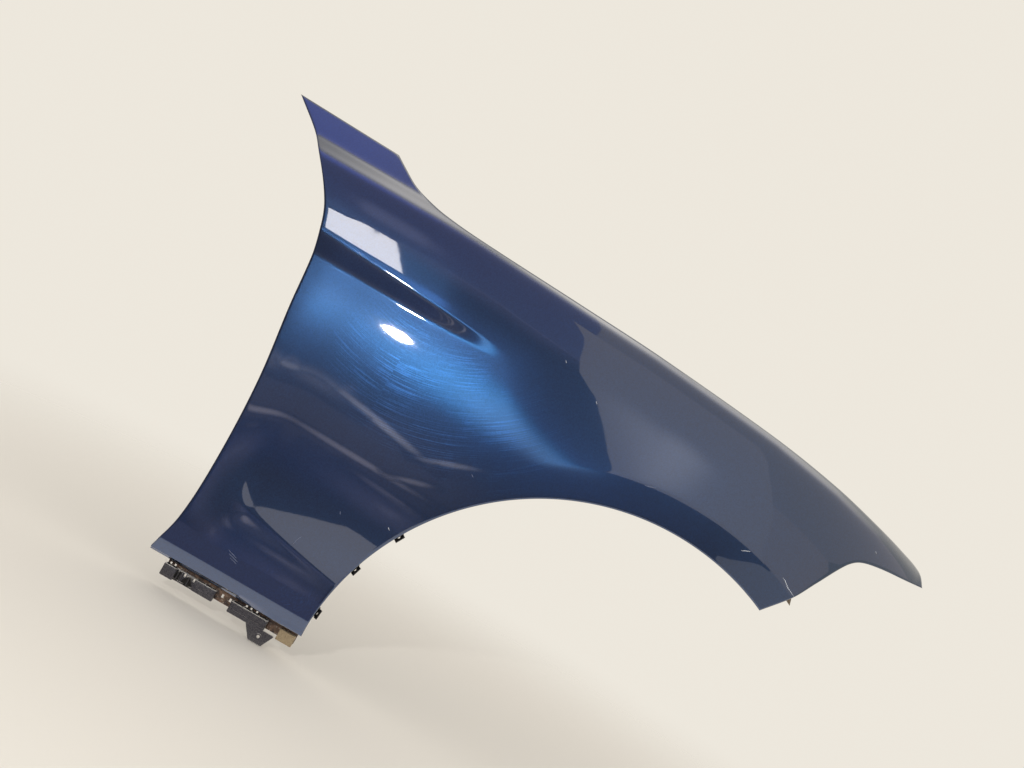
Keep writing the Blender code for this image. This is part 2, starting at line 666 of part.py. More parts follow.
def bumper_bracket(group, tools, datum, steel):
    """Small angle bracket behind the bumper flange, with a pointed end that shows below it."""
    edge = smooth_line(FRONT_EDGE, 0, 2)
    middle, ahead = edge(BRACKET_SHARE), edge(BRACKET_SHARE + BRACKET_AIM)
    up = Vector((ahead.x - middle.x, 0.0, ahead.y - middle.y)).normalized()
    out = Vector((up.z, 0.0, -up.x))
    start = Vector((middle.x, 0.0, middle.y))
    bow = 0.0
    for place in (edge(step / BRACKET_TESTS) for step in range(BRACKET_TESTS + 1)):
        away = Vector((place.x, 0.0, place.y)) - start
        if abs(away.dot(up)) < BRACKET_LENGTH:
            bow = max(bow, -away.dot(out))
    ends = [start + up * share * BRACKET_LENGTH for share in (-0.5, 0.5)]
    free_edge = max(panel_depth(end.x, end.z) for end in ends) + FOLD_RADIUS + BUMPER_FLANGE
    back = free_edge + SEAT_GAP

    def corner(rise, reach, depth):
        return start + up * rise + out * reach + Vector((0.0, depth, 0.0))

    half, tip = BRACKET_LENGTH / 2, BRACKET_TIP_WIDTH / 2
    inner = -(bow + SHEET + BRACKET_GAP + BRACKET_SHEET)
    outline = [(-half, inner), (half, inner), (half, 0.0), (tip, 0.0), (-tip / 2, BRACKET_TIP),
               (-tip, 0.0), (-half, 0.0)]
    plate = extrusion([corner(rise, reach, back) for rise, reach in outline],
                      Vector((0.0, BRACKET_SHEET, 0.0)))
    bracket = piece("bumper_bracket", plate, group, datum, steel)
    leg = [(-half, inner), (half, inner), (half, inner + BRACKET_SHEET), (-half, inner + BRACKET_SHEET)]
    web = extrusion([corner(rise, reach, back + BRACKET_SHEET / 2) for rise, reach in leg],
                    Vector((0.0, -BRACKET_LEG, 0.0)))
    boolean(bracket, "UNION", [piece("bracket_leg", web, tools, datum)])
    return bracket


def build():
    """Clears the file and models the whole fender."""
    for old in list(bpy.data.objects):
        bpy.data.objects.remove(old, do_unlink=True)
    group = collection(COLLECTION)
    tools = collection("cutters")
    datum = bpy.data.objects.new("sill_seat_datum", None)
    datum.location = -DATUM
    group.objects.link(datum)
    paint = material("blue_metallic_paint", (0.010, 0.035, 0.120), 0.25, 0.6)
    plastic = material("black_moulded_plastic", (0.020, 0.019, 0.018), 0.60, 0.0)
    rubber = material("dusty_rubber", (0.290, 0.215, 0.130), 0.90, 0.0)
    zinc = material("dark_zinc_plate", (0.050, 0.048, 0.045), 0.45, 0.9)
    steel = material("primed_steel", (0.120, 0.100, 0.060), 0.60, 0.3)
    fender_skin(group, tools, datum, paint)
    rear_sill_holder(group, tools, datum, plastic)
    front_sill_holder(group, tools, datum, plastic)
    sill_end_pad(group, datum, rubber)
    for number, angle in enumerate(CLIP_ANGLES, start=1):
        arch_clip_nut(number, angle, group, tools, datum, zinc)
    bumper_bracket(group, tools, datum, steel)


build()
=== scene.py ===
"""Looks of a right-hand car fender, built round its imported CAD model.

The pressed skin is modelled again, finer, from the same shape rules as the solid, so that its
creases and its shoulder mirror the studio cleanly. The moulded holders and the end pad get their
rounded and ribbed shapes here, while the clip nuts and the bracket keep their solids under new
finishes. Lengths are in metres.
"""
import math

import bpy
import numpy as np
from bpy.props import FloatProperty, FloatVectorProperty, IntProperty, PointerProperty, StringProperty
from mathutils import Matrix, Vector


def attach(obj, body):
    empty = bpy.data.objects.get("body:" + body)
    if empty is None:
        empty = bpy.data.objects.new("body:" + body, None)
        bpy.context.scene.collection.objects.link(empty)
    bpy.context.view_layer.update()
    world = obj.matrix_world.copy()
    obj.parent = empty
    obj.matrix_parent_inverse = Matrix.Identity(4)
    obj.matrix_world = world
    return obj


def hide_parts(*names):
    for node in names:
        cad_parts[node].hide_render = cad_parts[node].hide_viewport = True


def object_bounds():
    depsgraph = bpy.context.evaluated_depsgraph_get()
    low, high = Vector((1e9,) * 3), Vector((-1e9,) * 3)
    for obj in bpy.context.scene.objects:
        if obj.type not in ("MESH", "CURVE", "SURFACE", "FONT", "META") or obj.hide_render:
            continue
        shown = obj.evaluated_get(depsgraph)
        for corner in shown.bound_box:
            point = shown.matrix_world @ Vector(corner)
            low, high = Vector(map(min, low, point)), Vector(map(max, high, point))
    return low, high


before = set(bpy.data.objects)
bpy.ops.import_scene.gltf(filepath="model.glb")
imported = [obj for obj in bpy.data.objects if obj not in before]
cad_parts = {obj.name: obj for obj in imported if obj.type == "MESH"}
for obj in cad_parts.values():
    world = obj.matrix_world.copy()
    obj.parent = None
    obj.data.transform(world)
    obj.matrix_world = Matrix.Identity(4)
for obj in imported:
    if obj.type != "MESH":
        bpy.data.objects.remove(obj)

CAD_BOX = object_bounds()

bl_info = {
    "name": "Car fender",
    "version": (1, 0, 0),
    "blender": (4, 5, 0),
    "location": "View3D > Sidebar > Fender",
    "description": "Models and finishes a worn right-hand front fender",
    "category": "Add Mesh",
}

# Side view of the panel as (X, Z) from the wheel centre, where the shape rules are written
DATUM = Vector((-0.39975, 0.0529, -0.015))
ARCH_RADIUS = 0.361
ARCH_FRONT_ANGLE = math.radians(66.0)
ARCH_SPLIT_ANGLE = math.radians(135.0)
SILL_Z = -0.006
DOOR_EDGE = [(-0.596, SILL_Z), (-0.579, 0.055), (-0.574, 0.150), (-0.578, 0.263), (-0.592, 0.368),
             (-0.6045, 0.4595), (-0.624, 0.512), (-0.683, 0.581), (-0.746, 0.630)]
HORN_KINK = (-0.583, 0.624)
HOOD_EDGE = [HORN_KINK, (-0.561, 0.610), (-0.537, 0.596), (-0.5125, 0.5875), (-0.480, 0.580),
             (-0.422, 0.574), (-0.262, 0.5663), (-0.130, 0.5594), (0.068, 0.541), (0.178, 0.525),
             (0.260, 0.508), (0.308, 0.497), (0.352, 0.4835), (0.364, 0.4655)]
BUMPER_EDGE = [(0.181, 0.368), (0.2006, 0.3976), (0.2287, 0.438), (0.2467, 0.4515),
               (0.2806, 0.4585), (0.330, 0.4625), (0.364, 0.4655)]
MIDDLE_LINE = [(-0.6045, 0.4595), (-0.262, 0.4515), (0.0, 0.447), (0.120, 0.430), (0.2006, 0.3976)]
FRONT_EDGE = [(ARCH_RADIUS * math.cos(ARCH_FRONT_ANGLE), ARCH_RADIUS * math.sin(ARCH_FRONT_ANGLE)),
              *BUMPER_EDGE]

# Crown, shoulder, character line, flare and sill of the outer face
WAIST_Z = 0.270
CROWN_RADIUS = 1.10
DOOR_DRIFT = 0.035
DOOR_DRIFT_X = -0.300
DOOR_DRIFT_ROUND = 0.120
NOSE_START_X = 0.020
NOSE_RADIUS = 0.475
SHOULDER_LINE = [(-0.760, 0.5760), (-0.480, 0.5755), (-0.422, 0.5740), (-0.293, 0.5678),
                 (-0.130, 0.5594), (0.068, 0.541), (0.178, 0.525), (0.260, 0.508), (0.352, 0.4835)]
SHOULDER_LEAN = 0.40
SHOULDER_REACH = 0.100
SHOULDER_TURN = 1.4
SHOULDER_HALF_BAND = 0.007
SHOULDER_ROUND = 0.010
HORN_STEP = 0.012
HORN_TURN = 1.0
HORN_ROUND = 0.004
STEP_SLOPE = 0.35
STEP_LOWER_Z = 0.4445
STEP_UPPER_Z = 0.476
STEP_UPPER_FALL = 0.060
STEP_LOWER_ROUND = 0.003
STEP_UPPER_ROUND = 0.002
STEP_FADE = (-0.430, -0.290)
DOOR_X = -0.600
FLARE_WIDTH = 0.045
FLARE_SLOPE = 0.14
FLARE_ROUND = 0.003
FLARE_BLEND = 0.100
FLARE_BLEND_ROUND = 0.060
FLARE_FADE = (100.0, 125.0)
SILL_CREASE_Z = 0.0195
SILL_TUCK = 0.53
SILL_ROUND = 0.002
BODY_LINE_Z = 0.110
BODY_LINE_X = -0.524
BODY_LINE_FALL = 0.176
BODY_LINE_SLOPE = 0.20
BODY_LINE_ROUND = 0.004
BODY_LINE_BLEND = 0.080
BODY_LINE_FADE = (-0.585, -0.500)

# Polishing arcs in the part's own frame, drawn brighter as a painted highlight of the lamp caught in the
# scratches: centre they turn about, middle of the patch that shows, its reach
POLISH_GLINT_PATCHES = [
    ((-0.030, -0.040, 0.610), (0.045, -0.044, 0.380), (0.20, 1.0, 0.120)),
    ((-0.006, -0.040, 0.059), (-0.006, -0.040, 0.059), (0.050, 1.0, 0.036)),
]

# Chips and scratches through the clear coat: places (X, Z) in the part's own frame, and width
CHIPS = [
    ([(0.552, 0.398), (0.557, 0.396), (0.566, 0.389), (0.572, 0.3865), (0.579, 0.3835)], 0.0013),
    ([(0.484, 0.4015), (0.490, 0.4045), (0.496, 0.4065)], 0.0014),
    ([(0.160, 0.5035), (0.1625, 0.5005)], 0.0013),
    ([(0.2215, 0.4765), (0.2245, 0.4735)], 0.0012),
    ([(0.662, 0.4915), (0.665, 0.4885)], 0.0012),
    ([(0.067, 0.1965), (0.071, 0.1935)], 0.0012),
]
SCRATCHES = [
    ([(0.331, 0.4125), (0.338, 0.4140), (0.345, 0.4165)], 0.0010),
    ([(0.002, 0.1830), (0.004, 0.1790)], 0.0012),
    ([(-0.0255, 0.1290), (-0.0290, 0.1210), (-0.0310, 0.1130)], 0.0006),
    ([(-0.1010, 0.0640), (-0.0930, 0.0618), (-0.0860, 0.0595)], 0.0010),
    ([(-0.0980, 0.0600), (-0.0890, 0.0578), (-0.0820, 0.0555)], 0.0009),
    ([(-0.0940, 0.0560), (-0.0870, 0.0542), (-0.0820, 0.0525)], 0.0008),
    ([(0.127, 0.312), (0.131, 0.309)], 0.0008),
]
CHIP_RISE = 0.00012

# Folded flanges, with their holes
ARCH_FLANGE = 0.020
ARCH_FLANGE_END = 0.018
DOOR_FLANGE = 0.010
DOOR_FLANGE_LOW = 0.024
DOOR_TAB_Z = (0.245, 0.275)
DOOR_TAB = 0.028
BUMPER_FLANGE = 0.010
BUMPER_FLANGE_END = 0.024
HORN_FLANGE = 0.005
HORN_LIP = 0.008
RAIL_WIDTH = 0.005
RAIL_DROP = 0.018
RAIL_FLANGE = 0.026
RAIL_SPAN = (-0.420, 0.250)
RAIL_HOLES = (-0.345, -0.120, 0.110)
RAIL_HOLE_SHARE = 0.55
CLIP_ANGLES = (150.8, 162.5, 174.9)
CLIP_HOLE_IN = 0.0075
WELD_GAP = 0.00002

# Sill flange, by distance forward of the sill's rear corner
SILL_REAR = DOOR_EDGE[0][0]
SILL_FLANGE_Y = 0.052
SILL_FLANGE_DROP = 0.018
SILL_SPAN = (0.028, 0.232)
SILL_SLOTS = (0.059, 0.073, 0.116, 0.128)
SILL_NOTCHES = (0.034, 0.0405, 0.151, 0.158, 0.167)
NOTCH_DROP = 0.0062
NOTCH_SIZE = (0.0026, 0.0200, 0.0030)
RUST_DROP = 0.0015

# Sill holders and end pad, by distance forward of the same corner
SEAT_GAP = 0.0003
HOLDER_TOP = SILL_Z - 0.0055
HOLDER_LOW = SILL_Z - SILL_FLANGE_DROP - 0.0035
BOX_DEPTH = 0.0125
RAISED_DEPTH = 0.010
STRIP_DEPTH = 0.006
REAR_BOX = (0.028, 0.047)
RAISED_BOX = (0.075, 0.107)
REAR_RIBS = (0.0495, 0.0545, 0.0655)
FRONT_BOX = (0.131, 0.187)
FRONT_RIBS = (0.1335, 0.1835)
LUG = [(0.161, 0.0), (0.174, -0.018), (0.194, -0.018), (0.203, 0.0)]
LUG_HOLE = (0.185, -0.008)
LUG_THICKNESS = 0.0040
END_PAD = (0.2055, 0.2295)
PAD_DEPTH = 0.011
PAD_VOXEL = 0.0006

# Waves in the pad's faces, about 4.5 and 7 mm long, their height, and how far the faces sink
PAD_WAVES = (1400.0, 900.0)
PAD_WAVE_HEIGHT = 0.00005
PAD_SHRINK = 0.0002

# Hook that grips the flange from below: its near and far face behind the flange, and its rise
HOOK_NEAR = 0.0013
HOOK_FAR = 0.0033
HOOK_RISE = 0.0045

# Open pockets in the holders' upper side: start, end, depth and drop of each
POCKET_BACK = 0.0020
REAR_POCKETS = [(0.0300, 0.0365, 0.0110, 0.0070), (0.0385, 0.0450, 0.0110, 0.0070),
                (0.0775, 0.0875, 0.0085, 0.0050), (0.0895, 0.1045, 0.0085, 0.0065)]
FRONT_POCKETS = [(0.1335, 0.1480, 0.0110, 0.0080), (0.1500, 0.1600, 0.0110, 0.0080),
                 (0.1620, 0.1710, 0.0110, 0.0060), (0.1735, 0.1845, 0.0110, 0.0080)]

# Pale floor that melts into the world, and the light that matt surfaces get from all round
FLOOR_SIZE = 40.0
FLOOR_GAP = 0.0005
FLOOR_FADE = (0.5, 1.6)
SOFT_LIGHT = (0.82, 0.80, 0.78, 1.0)


class SkinSizes(bpy.types.PropertyGroup):
    sheet: FloatProperty(
        name="Sheet", description="Thickness of the steel with its paint", default=0.0009, unit="LENGTH",
        precision=5)
    fold: FloatProperty(
        name="Fold", description="Radius at which the edges roll over", default=0.0025, unit="LENGTH",
        precision=5)
    rear_columns: IntProperty(
        name="Rear columns", description="Divisions between the door edge and the arch", default=84)
    front_columns: IntProperty(
        name="Front columns", description="Divisions over the arch to the nose", default=156)
    sill_rows: IntProperty(
        name="Sill rows", description="Divisions from the sill to the waist", default=88)
    waist_rows: IntProperty(
        name="Waist rows", description="Divisions from the waist to the character line", default=60)
    top_rows: IntProperty(
        name="Top rows", description="Divisions from the character line to the hood edge", default=64)
    bolt_hole: FloatProperty(
        name="Bolt hole", description="Width of the holes in the hood rail flange", default=0.0085,
        unit="LENGTH")
    pad_hole: FloatProperty(
        name="Clip hole", description="Width of the holes in the arch flange", default=0.0065, unit="LENGTH")
    slot_width: FloatProperty(
        name="Slot width", description="Width of the slots in the sill flange", default=0.003, unit="LENGTH")
    slot_height: FloatProperty(
        name="Slot height", description="Height of the slots in the sill flange", default=0.005, unit="LENGTH")


class FinishColours(bpy.types.PropertyGroup):
    paint: StringProperty(
        name="Paint", description="Blue of the metallic base coat, as sRGB hex", default="112B47")
    primer: StringProperty(name="Primer", description="Dull inside face, as sRGB hex", default="39424F")
    overspray: StringProperty(
        name="Overspray", description="Blue mist over the inside primer, as sRGB hex", default="26324A")
    scratch: StringProperty(name="Scratch", description="Scratched clear coat, as sRGB hex", default="7E89A6")
    chip: StringProperty(name="Chip", description="Crushed paint in chips, as sRGB hex", default="DDE2EA")
    rust: StringProperty(name="Rust", description="Rust on the sill flange, as sRGB hex", default="7A5F4A")
    plastic: StringProperty(name="Plastic", description="Black moulded holders, as sRGB hex", default="1B1A19")
    # Pale colour of the holders' dust and of their upward faces, which are lightened partly as dust and partly
    # as a painted highlight
    scuff_and_highlight: StringProperty(
        name="Scuff", description="Scuffed, dusty rims of the holders, as sRGB hex", default="D2CCC2")
    dust: StringProperty(name="Dust", description="Road dust in the corners, as sRGB hex", default="A89E8E")
    rubber: StringProperty(name="Rubber", description="Perished end pad, as sRGB hex", default="A08E70")
    zinc: StringProperty(name="Zinc", description="Dark plated spring steel, as sRGB hex", default="1E1D1C")
    bracket: StringProperty(name="Bracket", description="Olive brown primer, as sRGB hex", default="6A5A40")


class StudioSizes(bpy.types.PropertyGroup):
    camera_distance: FloatProperty(
        name="Camera distance", description="From the lens to the wheel centre's plane", default=2.0,
        unit="LENGTH")
    camera_x: FloatProperty(
        name="Camera X", description="Ahead of the wheel centre", default=-0.286, unit="LENGTH")
    camera_z: FloatProperty(
        name="Camera Z", description="Above the wheel centre", default=0.4256, unit="LENGTH")
    camera_roll: FloatProperty(
        name="Camera roll", description="Turn about the line of sight", default=math.radians(30.0),
        subtype="ANGLE")
    lens: FloatProperty(name="Lens", description="Focal length for a 36 mm sensor", default=53.754)
    backdrop: FloatVectorProperty(
        name="Backdrop", description="Cream of the floor and of the world behind",
        default=(0.847, 0.802, 0.720), subtype="COLOR")


def linear(hex_colour):
    """Scene colour of an sRGB hex value."""
    parts = [int(hex_colour[i:i + 2], 16) / 255.0 for i in (0, 2, 4)]
    return tuple(p / 12.92 if p <= 0.04045 else ((p + 0.055) / 1.055) ** 2.4 for p in parts) + (1.0,)


def row_place(x, y, z):
    """A place given from the wheel centre, in the frame of the part."""
    return Vector((x, y, z)) - DATUM


# Shape rules of the outer face

def soft_ramp(distance, rounding):
    """The distance where it is above zero and nothing below, with a rounded corner."""
    return 0.5 * (distance + np.hypot(distance, rounding))


def fade(start, end, value):
    """Share that rises smoothly from 0 at the start to 1 at the end."""
    share = np.clip((value - start) / (end - start), 0.0, 1.0)
    return share * share * (3.0 - 2.0 * share)


def height_on(line, x):
    """Height at x of a line through (X, Z) points."""
    points = np.array(line)
    return np.interp(x, points[:, 0], points[:, 1])


def panel_depth(x, z):
    """How far inboard the outer face lies at places seen from the side."""
    depth = (z - WAIST_Z) ** 2 / (2.0 * CROWN_RADIUS)
    depth = depth + DOOR_DRIFT * (soft_ramp(DOOR_DRIFT_X - x, DOOR_DRIFT_ROUND)
                                  - soft_ramp(DOOR_DRIFT_X, DOOR_DRIFT_ROUND))
    depth += np.maximum(x - NOSE_START_X, 0.0) ** 2 / (2.0 * NOSE_RADIUS)

    over_shoulder = z - height_on(SHOULDER_LINE, x)
    lean = np.maximum(1.0 + np.minimum(over_shoulder, 0.0) / SHOULDER_REACH, 0.0)
    depth += SHOULDER_LEAN * (lean * lean * SHOULDER_REACH / 2.0 + np.maximum(over_shoulder, 0.0))
    depth += SHOULDER_TURN * soft_ramp(over_shoulder + SHOULDER_HALF_BAND, SHOULDER_ROUND)
    depth -= HORN_TURN * soft_ramp(over_shoulder - HORN_STEP, HORN_ROUND)

    upper = STEP_UPPER_Z - STEP_UPPER_FALL * (x - DOOR_X)
    step = soft_ramp(z - STEP_LOWER_Z, STEP_LOWER_ROUND) - soft_ramp(z - upper, STEP_UPPER_ROUND)
    depth -= STEP_SLOPE * (1.0 - fade(*STEP_FADE, x)) * step

    radius = np.hypot(x, z) - ARCH_RADIUS - FLARE_WIDTH
    flare = soft_ramp(radius, FLARE_ROUND) - soft_ramp(radius - FLARE_BLEND, FLARE_BLEND_ROUND)
    depth += FLARE_SLOPE * (1.0 - fade(*FLARE_FADE, np.degrees(np.arctan2(z, x)))) * flare

    depth += SILL_TUCK * soft_ramp(SILL_CREASE_Z - z, SILL_ROUND)
    line = BODY_LINE_Z - BODY_LINE_FALL * (x - BODY_LINE_X)
    rounding = BODY_LINE_ROUND + BODY_LINE_BLEND * (1.0 - fade(*BODY_LINE_FADE, x))
    depth -= BODY_LINE_SLOPE * soft_ramp(line - z, rounding)
    return depth


def smooth_line(points, shares, first=0, last=-1):
    """Places along a smooth curve through (X, Z) points, at shares of the way between two of them."""
    knots = np.array(points, dtype=float)
    gaps = np.linalg.norm(np.diff(knots, axis=0), axis=1)
    lengths = np.concatenate([[0.0], np.cumsum(gaps)])
    ends = np.vstack([2.0 * knots[0] - knots[1], knots, 2.0 * knots[-1] - knots[-2]])
    spans = np.linalg.norm(np.diff(ends, axis=0), axis=1)
    along = lengths[first] + np.asarray(shares) * (lengths[last] - lengths[first])
    index = np.clip(np.searchsorted(lengths, along, side="left") - 1, 0, len(knots) - 2)
    gap = gaps[index]
    t = ((along - lengths[index]) / gap)[:, None]
    before, start, end, after = (ends[index + step] for step in range(4))
    pull_start = (end - before) * (gap / (spans[index] + gap))[:, None]
    pull_end = (after - start) * (gap / (spans[index + 2] + gap))[:, None]
    return ((2 * t ** 3 - 3 * t ** 2 + 1) * start + (t ** 3 - 2 * t ** 2 + t) * pull_start
            + (3 * t ** 2 - 2 * t ** 3) * end + (t ** 3 - t ** 2) * pull_end)


def straight_line(start, end, shares):
    """Places along a straight line at shares of its length."""
    return np.array(start) + (np.array(end) - np.array(start)) * np.asarray(shares)[:, None]


def arch_line(start, end, shares):
    """Places along the wheel arch at shares of the way between two angles."""
    angles = start + (end - start) * np.asarray(shares)
    return ARCH_RADIUS * np.column_stack([np.cos(angles), np.sin(angles)])


def patch(bottom, top, left, right, across, up):
    """Surface between four edge curves, as rows of places."""
    u = np.asarray(across)[None, :, None]
    v = np.asarray(up)[:, None, None]
    low = bottom[0] * (1 - u) + bottom[-1] * u
    high = top[0] * (1 - u) + top[-1] * u
    return (bottom[None] * (1 - v) + top[None] * v + left[:, None] * (1 - u) + right[:, None] * u
            - low * (1 - v) - high * v)


def spread(count, finer):
    """Shares from 0 to 1, closer together near each (place, reach, how much finer)."""
    fine = np.linspace(0.0, 1.0, 2001)
    density = np.ones_like(fine)
    for place, reach, more in finer:
        density += more * np.exp(-((fine - place) / reach) ** 2)
    total = np.concatenate([[0.0], np.cumsum(0.5 * (density[1:] + density[:-1]))])
    return np.interp(np.linspace(0.0, total[-1], count + 1), total, fine)


def rolled(shares, fold, length, at_start, at_end):
    """Shares with four more points where an edge rolls over."""
    roll = fold / length
    steps = np.array([0.0, 0.08, 0.3, 0.62]) * roll
    low = roll if at_start else 0.0
    high = 1.0 - roll if at_end else 1.0
    inner = low + (high - low) * shares
    start = steps if at_start else np.empty(0)
    end = 1.0 - steps[::-1] if at_end else np.empty(0)
    return np.concatenate([start, inner, end])


def gap_to(places, line):
    """Distance from places to a line of points in the side view."""
    least = np.full(len(places), np.inf)
    for start, end in zip(line, line[1:]):
        along = end - start
        square = along @ along
        if square > 0.0:
            share = np.clip((places - start) @ along / square, 0.0, 1.0)
            least = np.minimum(least, np.linalg.norm(places - start - share[:, None] * along, axis=1))
    return least


def skin_grids(sizes):
    """Rear and front grids of the outer face, as rows of (X, Y, Z) from the wheel centre."""
    arch_rear = math.pi - math.asin(SILL_Z / ARCH_RADIUS)
    fold = sizes.fold
    rear_u = rolled(spread(sizes.rear_columns, []), fold, 0.235, True, True)
    front_u = rolled(spread(sizes.front_columns, []), fold, 0.435, False, True)
    sill_v = rolled(spread(sizes.sill_rows, [(0.10, 0.03, 3.0), (0.36, 0.09, 1.2)]), fold, 0.269, True, False)
    waist_v = rolled(spread(sizes.waist_rows, [(0.42, 0.10, 0.8), (0.95, 0.05, 2.0)]), fold, 0.0865,
                     True, False)
    top_v = rolled(spread(sizes.top_rows, [(0.08, 0.05, 1.5), (0.70, 0.09, 0.8), (0.96, 0.05, 1.5)]),
                   fold, 0.1148, False, True)
    horn_share = 5.0 / 16.0
    on_horn = rear_u <= horn_share
    junction = ARCH_RADIUS * np.array([math.cos(ARCH_SPLIT_ANGLE), math.sin(ARCH_SPLIT_ANGLE)])
    waist = straight_line(DOOR_EDGE[3], junction, rear_u)
    rear_middle = smooth_line(MIDDLE_LINE, rear_u, 0, 1)
    rear_top = np.vstack([
        straight_line(DOOR_EDGE[-1], HORN_KINK, rear_u[on_horn] / horn_share),
        smooth_line(HOOD_EDGE, (rear_u[~on_horn] - horn_share) / (1.0 - horn_share), 0, 6)])
    front_middle = smooth_line(MIDDLE_LINE, front_u, 1)
    waist_split = straight_line(junction, MIDDLE_LINE[1], waist_v)
    top_split = straight_line(MIDDLE_LINE[1], HOOD_EDGE[6], top_v)
    sill_front = arch_line(arch_rear, ARCH_SPLIT_ANGLE, [0.0])[0]
    sill = patch(straight_line(DOOR_EDGE[0], sill_front, rear_u), waist, smooth_line(DOOR_EDGE, sill_v, 0, 3),
                 arch_line(arch_rear, ARCH_SPLIT_ANGLE, sill_v), rear_u, sill_v)
    rear = patch(waist, rear_middle, smooth_line(DOOR_EDGE, waist_v, 3, 5), waist_split, rear_u, waist_v)
    horn = patch(rear_middle, rear_top, smooth_line(DOOR_EDGE, top_v, 5), top_split, rear_u, top_v)
    front = patch(arch_line(ARCH_SPLIT_ANGLE, ARCH_FRONT_ANGLE, front_u), front_middle, waist_split,
                  smooth_line(FRONT_EDGE, waist_v, 0, 2), front_u, waist_v)
    nose = patch(front_middle, smooth_line(HOOD_EDGE, front_u, 6), top_split,
                 smooth_line(FRONT_EDGE, top_v, 2), front_u, top_v)
    grids = [np.vstack([sill[:-1], rear[:-1], horn]), np.vstack([front[:-1], nose])]
    first_front = len(sill) - 1
    rims = [grids[0][:, 0], grids[0][0], np.vstack([grids[0][:first_front + 1, -1], grids[1][0, 1:]]),
            np.vstack([grids[0][-1], grids[1][-1, 1:]]), grids[1][:, -1]]
    faces = []
    for grid in grids:
        places = grid.reshape(-1, 2)
        gap = np.min([gap_to(places, rim) for rim in rims], axis=0)
        inside = np.maximum(fold - gap, 0.0)
        depth = panel_depth(places[:, 0], places[:, 1]) + fold - np.sqrt(fold ** 2 - inside ** 2)
        faces.append(np.column_stack([places[:, 0], depth, places[:, 1]]).reshape(*grid.shape[:2], 3))
    return faces[0], faces[1], first_front


class Rim:
    """A line of points along an edge of the skin and the direction that points out of the panel."""

    def __init__(self, points, inside):
        self.points = points
        along = np.zeros_like(points)
        along[1:-1] = points[2:] - points[:-2]
        along[0] = points[1] - points[0]
        along[-1] = points[-1] - points[-2]
        self.out = np.column_stack([-along[:, 2], np.zeros(len(points)), along[:, 0]])
        self.out /= np.linalg.norm(self.out, axis=1)[:, None]
        flip = np.einsum("ij,ij->i", self.out, inside - points) > 0.0
        self.out[flip] *= -1.0

    def part(self, keep):
        """The stretch of the rim that is kept, in one run."""
        chosen = np.flatnonzero(keep)
        run = slice(chosen[0], chosen[-1] + 1)
        made = object.__new__(Rim)
        made.points, made.out = self.points[run], self.out[run]
        return made

    def clear_of_ends(self, distance):
        """Which points lie further than this from both ends."""
        ends = [np.linalg.norm(self.points - self.points[end], axis=1) for end in (0, -1)]
        return np.minimum(*ends) > distance

    def ribbon(self, steps):
        """Rows of a flange: the rim itself and one row for each (outward, inboard or Y place)."""
        rows = [self.points]
        for outward, inboard, fixed in steps:
            row = self.points + self.out * outward
            row[:, 1] = inboard if fixed else self.points[:, 1] + inboard
            rows.append(row)
        return np.array(rows)


# Modelling with Blender's own tools

def deselect():
    bpy.ops.object.select_all(action="DESELECT")


def choose(*objects):
    """Makes these the selected objects, the first one active."""
    deselect()
    for item in objects:
        item.select_set(True)
    bpy.context.view_layer.objects.active = objects[0]


def shaped_grid(name, rows):
    """A grid primitive whose points are laid on rows of places."""
    count_v, count_u = rows.shape[:2]
    deselect()
    bpy.ops.mesh.primitive_grid_add(x_subdivisions=count_u - 1, y_subdivisions=count_v - 1, size=1.0)
    made = bpy.context.object
    made.name = name
    flat = np.empty(len(made.data.vertices) * 3)
    made.data.vertices.foreach_get("co", flat)
    flat = flat.reshape(-1, 3)
    u = np.rint((flat[:, 0] + 0.5) * (count_u - 1)).astype(int)
    v = np.rint((flat[:, 1] + 0.5) * (count_v - 1)).astype(int)
    places = rows[v, u] - np.array(DATUM)
    made.data.vertices.foreach_set("co", places.ravel())
    made.data.update()
    return made


def applied(target, kind, **settings):
    """Adds a modifier with its settings and applies it."""
    choose(target)
    bpy.ops.object.modifier_add(type=kind)
    step = target.modifiers[-1]
    for name, value in settings.items():
        setattr(step, name, value)
    bpy.ops.object.modifier_apply(modifier=step.name)


def joined(name, pieces, merge=0.0):
    """One object from several, with the points that meet merged."""
    choose(*pieces)
    if len(pieces) > 1:
        bpy.ops.object.join()
    made = bpy.context.object
    made.name = name
    if merge > 0.0:
        bpy.ops.object.mode_set(mode="EDIT")
        bpy.ops.mesh.select_all(action="SELECT")
        bpy.ops.mesh.remove_doubles(threshold=merge)
        bpy.ops.mesh.normals_make_consistent(inside=False)
        bpy.ops.object.mode_set(mode="OBJECT")
    return made


def bar(centre, along, radius, length, sides=32):
    """A round bar about a centre."""
    deselect()
    turn = Vector((0.0, 0.0, 1.0)).rotation_difference(Vector(along))
    bpy.ops.mesh.primitive_cylinder_add(vertices=sides, radius=radius, depth=length, location=centre,
                                        rotation=turn.to_euler())
    return bpy.context.object


def brick(low, high):
    """A box between two corners, as a start for shaping."""
    deselect()
    centre = [(a + b) / 2 for a, b in zip(low, high)]
    bpy.ops.mesh.primitive_cube_add(size=1.0, location=centre, scale=[b - a for a, b in zip(low, high)])
    bpy.ops.object.transform_apply(location=False, rotation=False, scale=True)
    return bpy.context.object


def rounded(target, width, segments=3):
    """Rounds all edges of a piece."""
    applied(target, "BEVEL", width=width, segments=segments, limit_method="ANGLE",
            angle_limit=math.radians(40.0))
    return target


def fused(target, others):
    """Adds other pieces to the target one by one and removes them."""
    for other in others:
        applied(target, "BOOLEAN", operation="UNION", object=other, solver="EXACT")
        bpy.data.objects.remove(other, do_unlink=True)
    return target


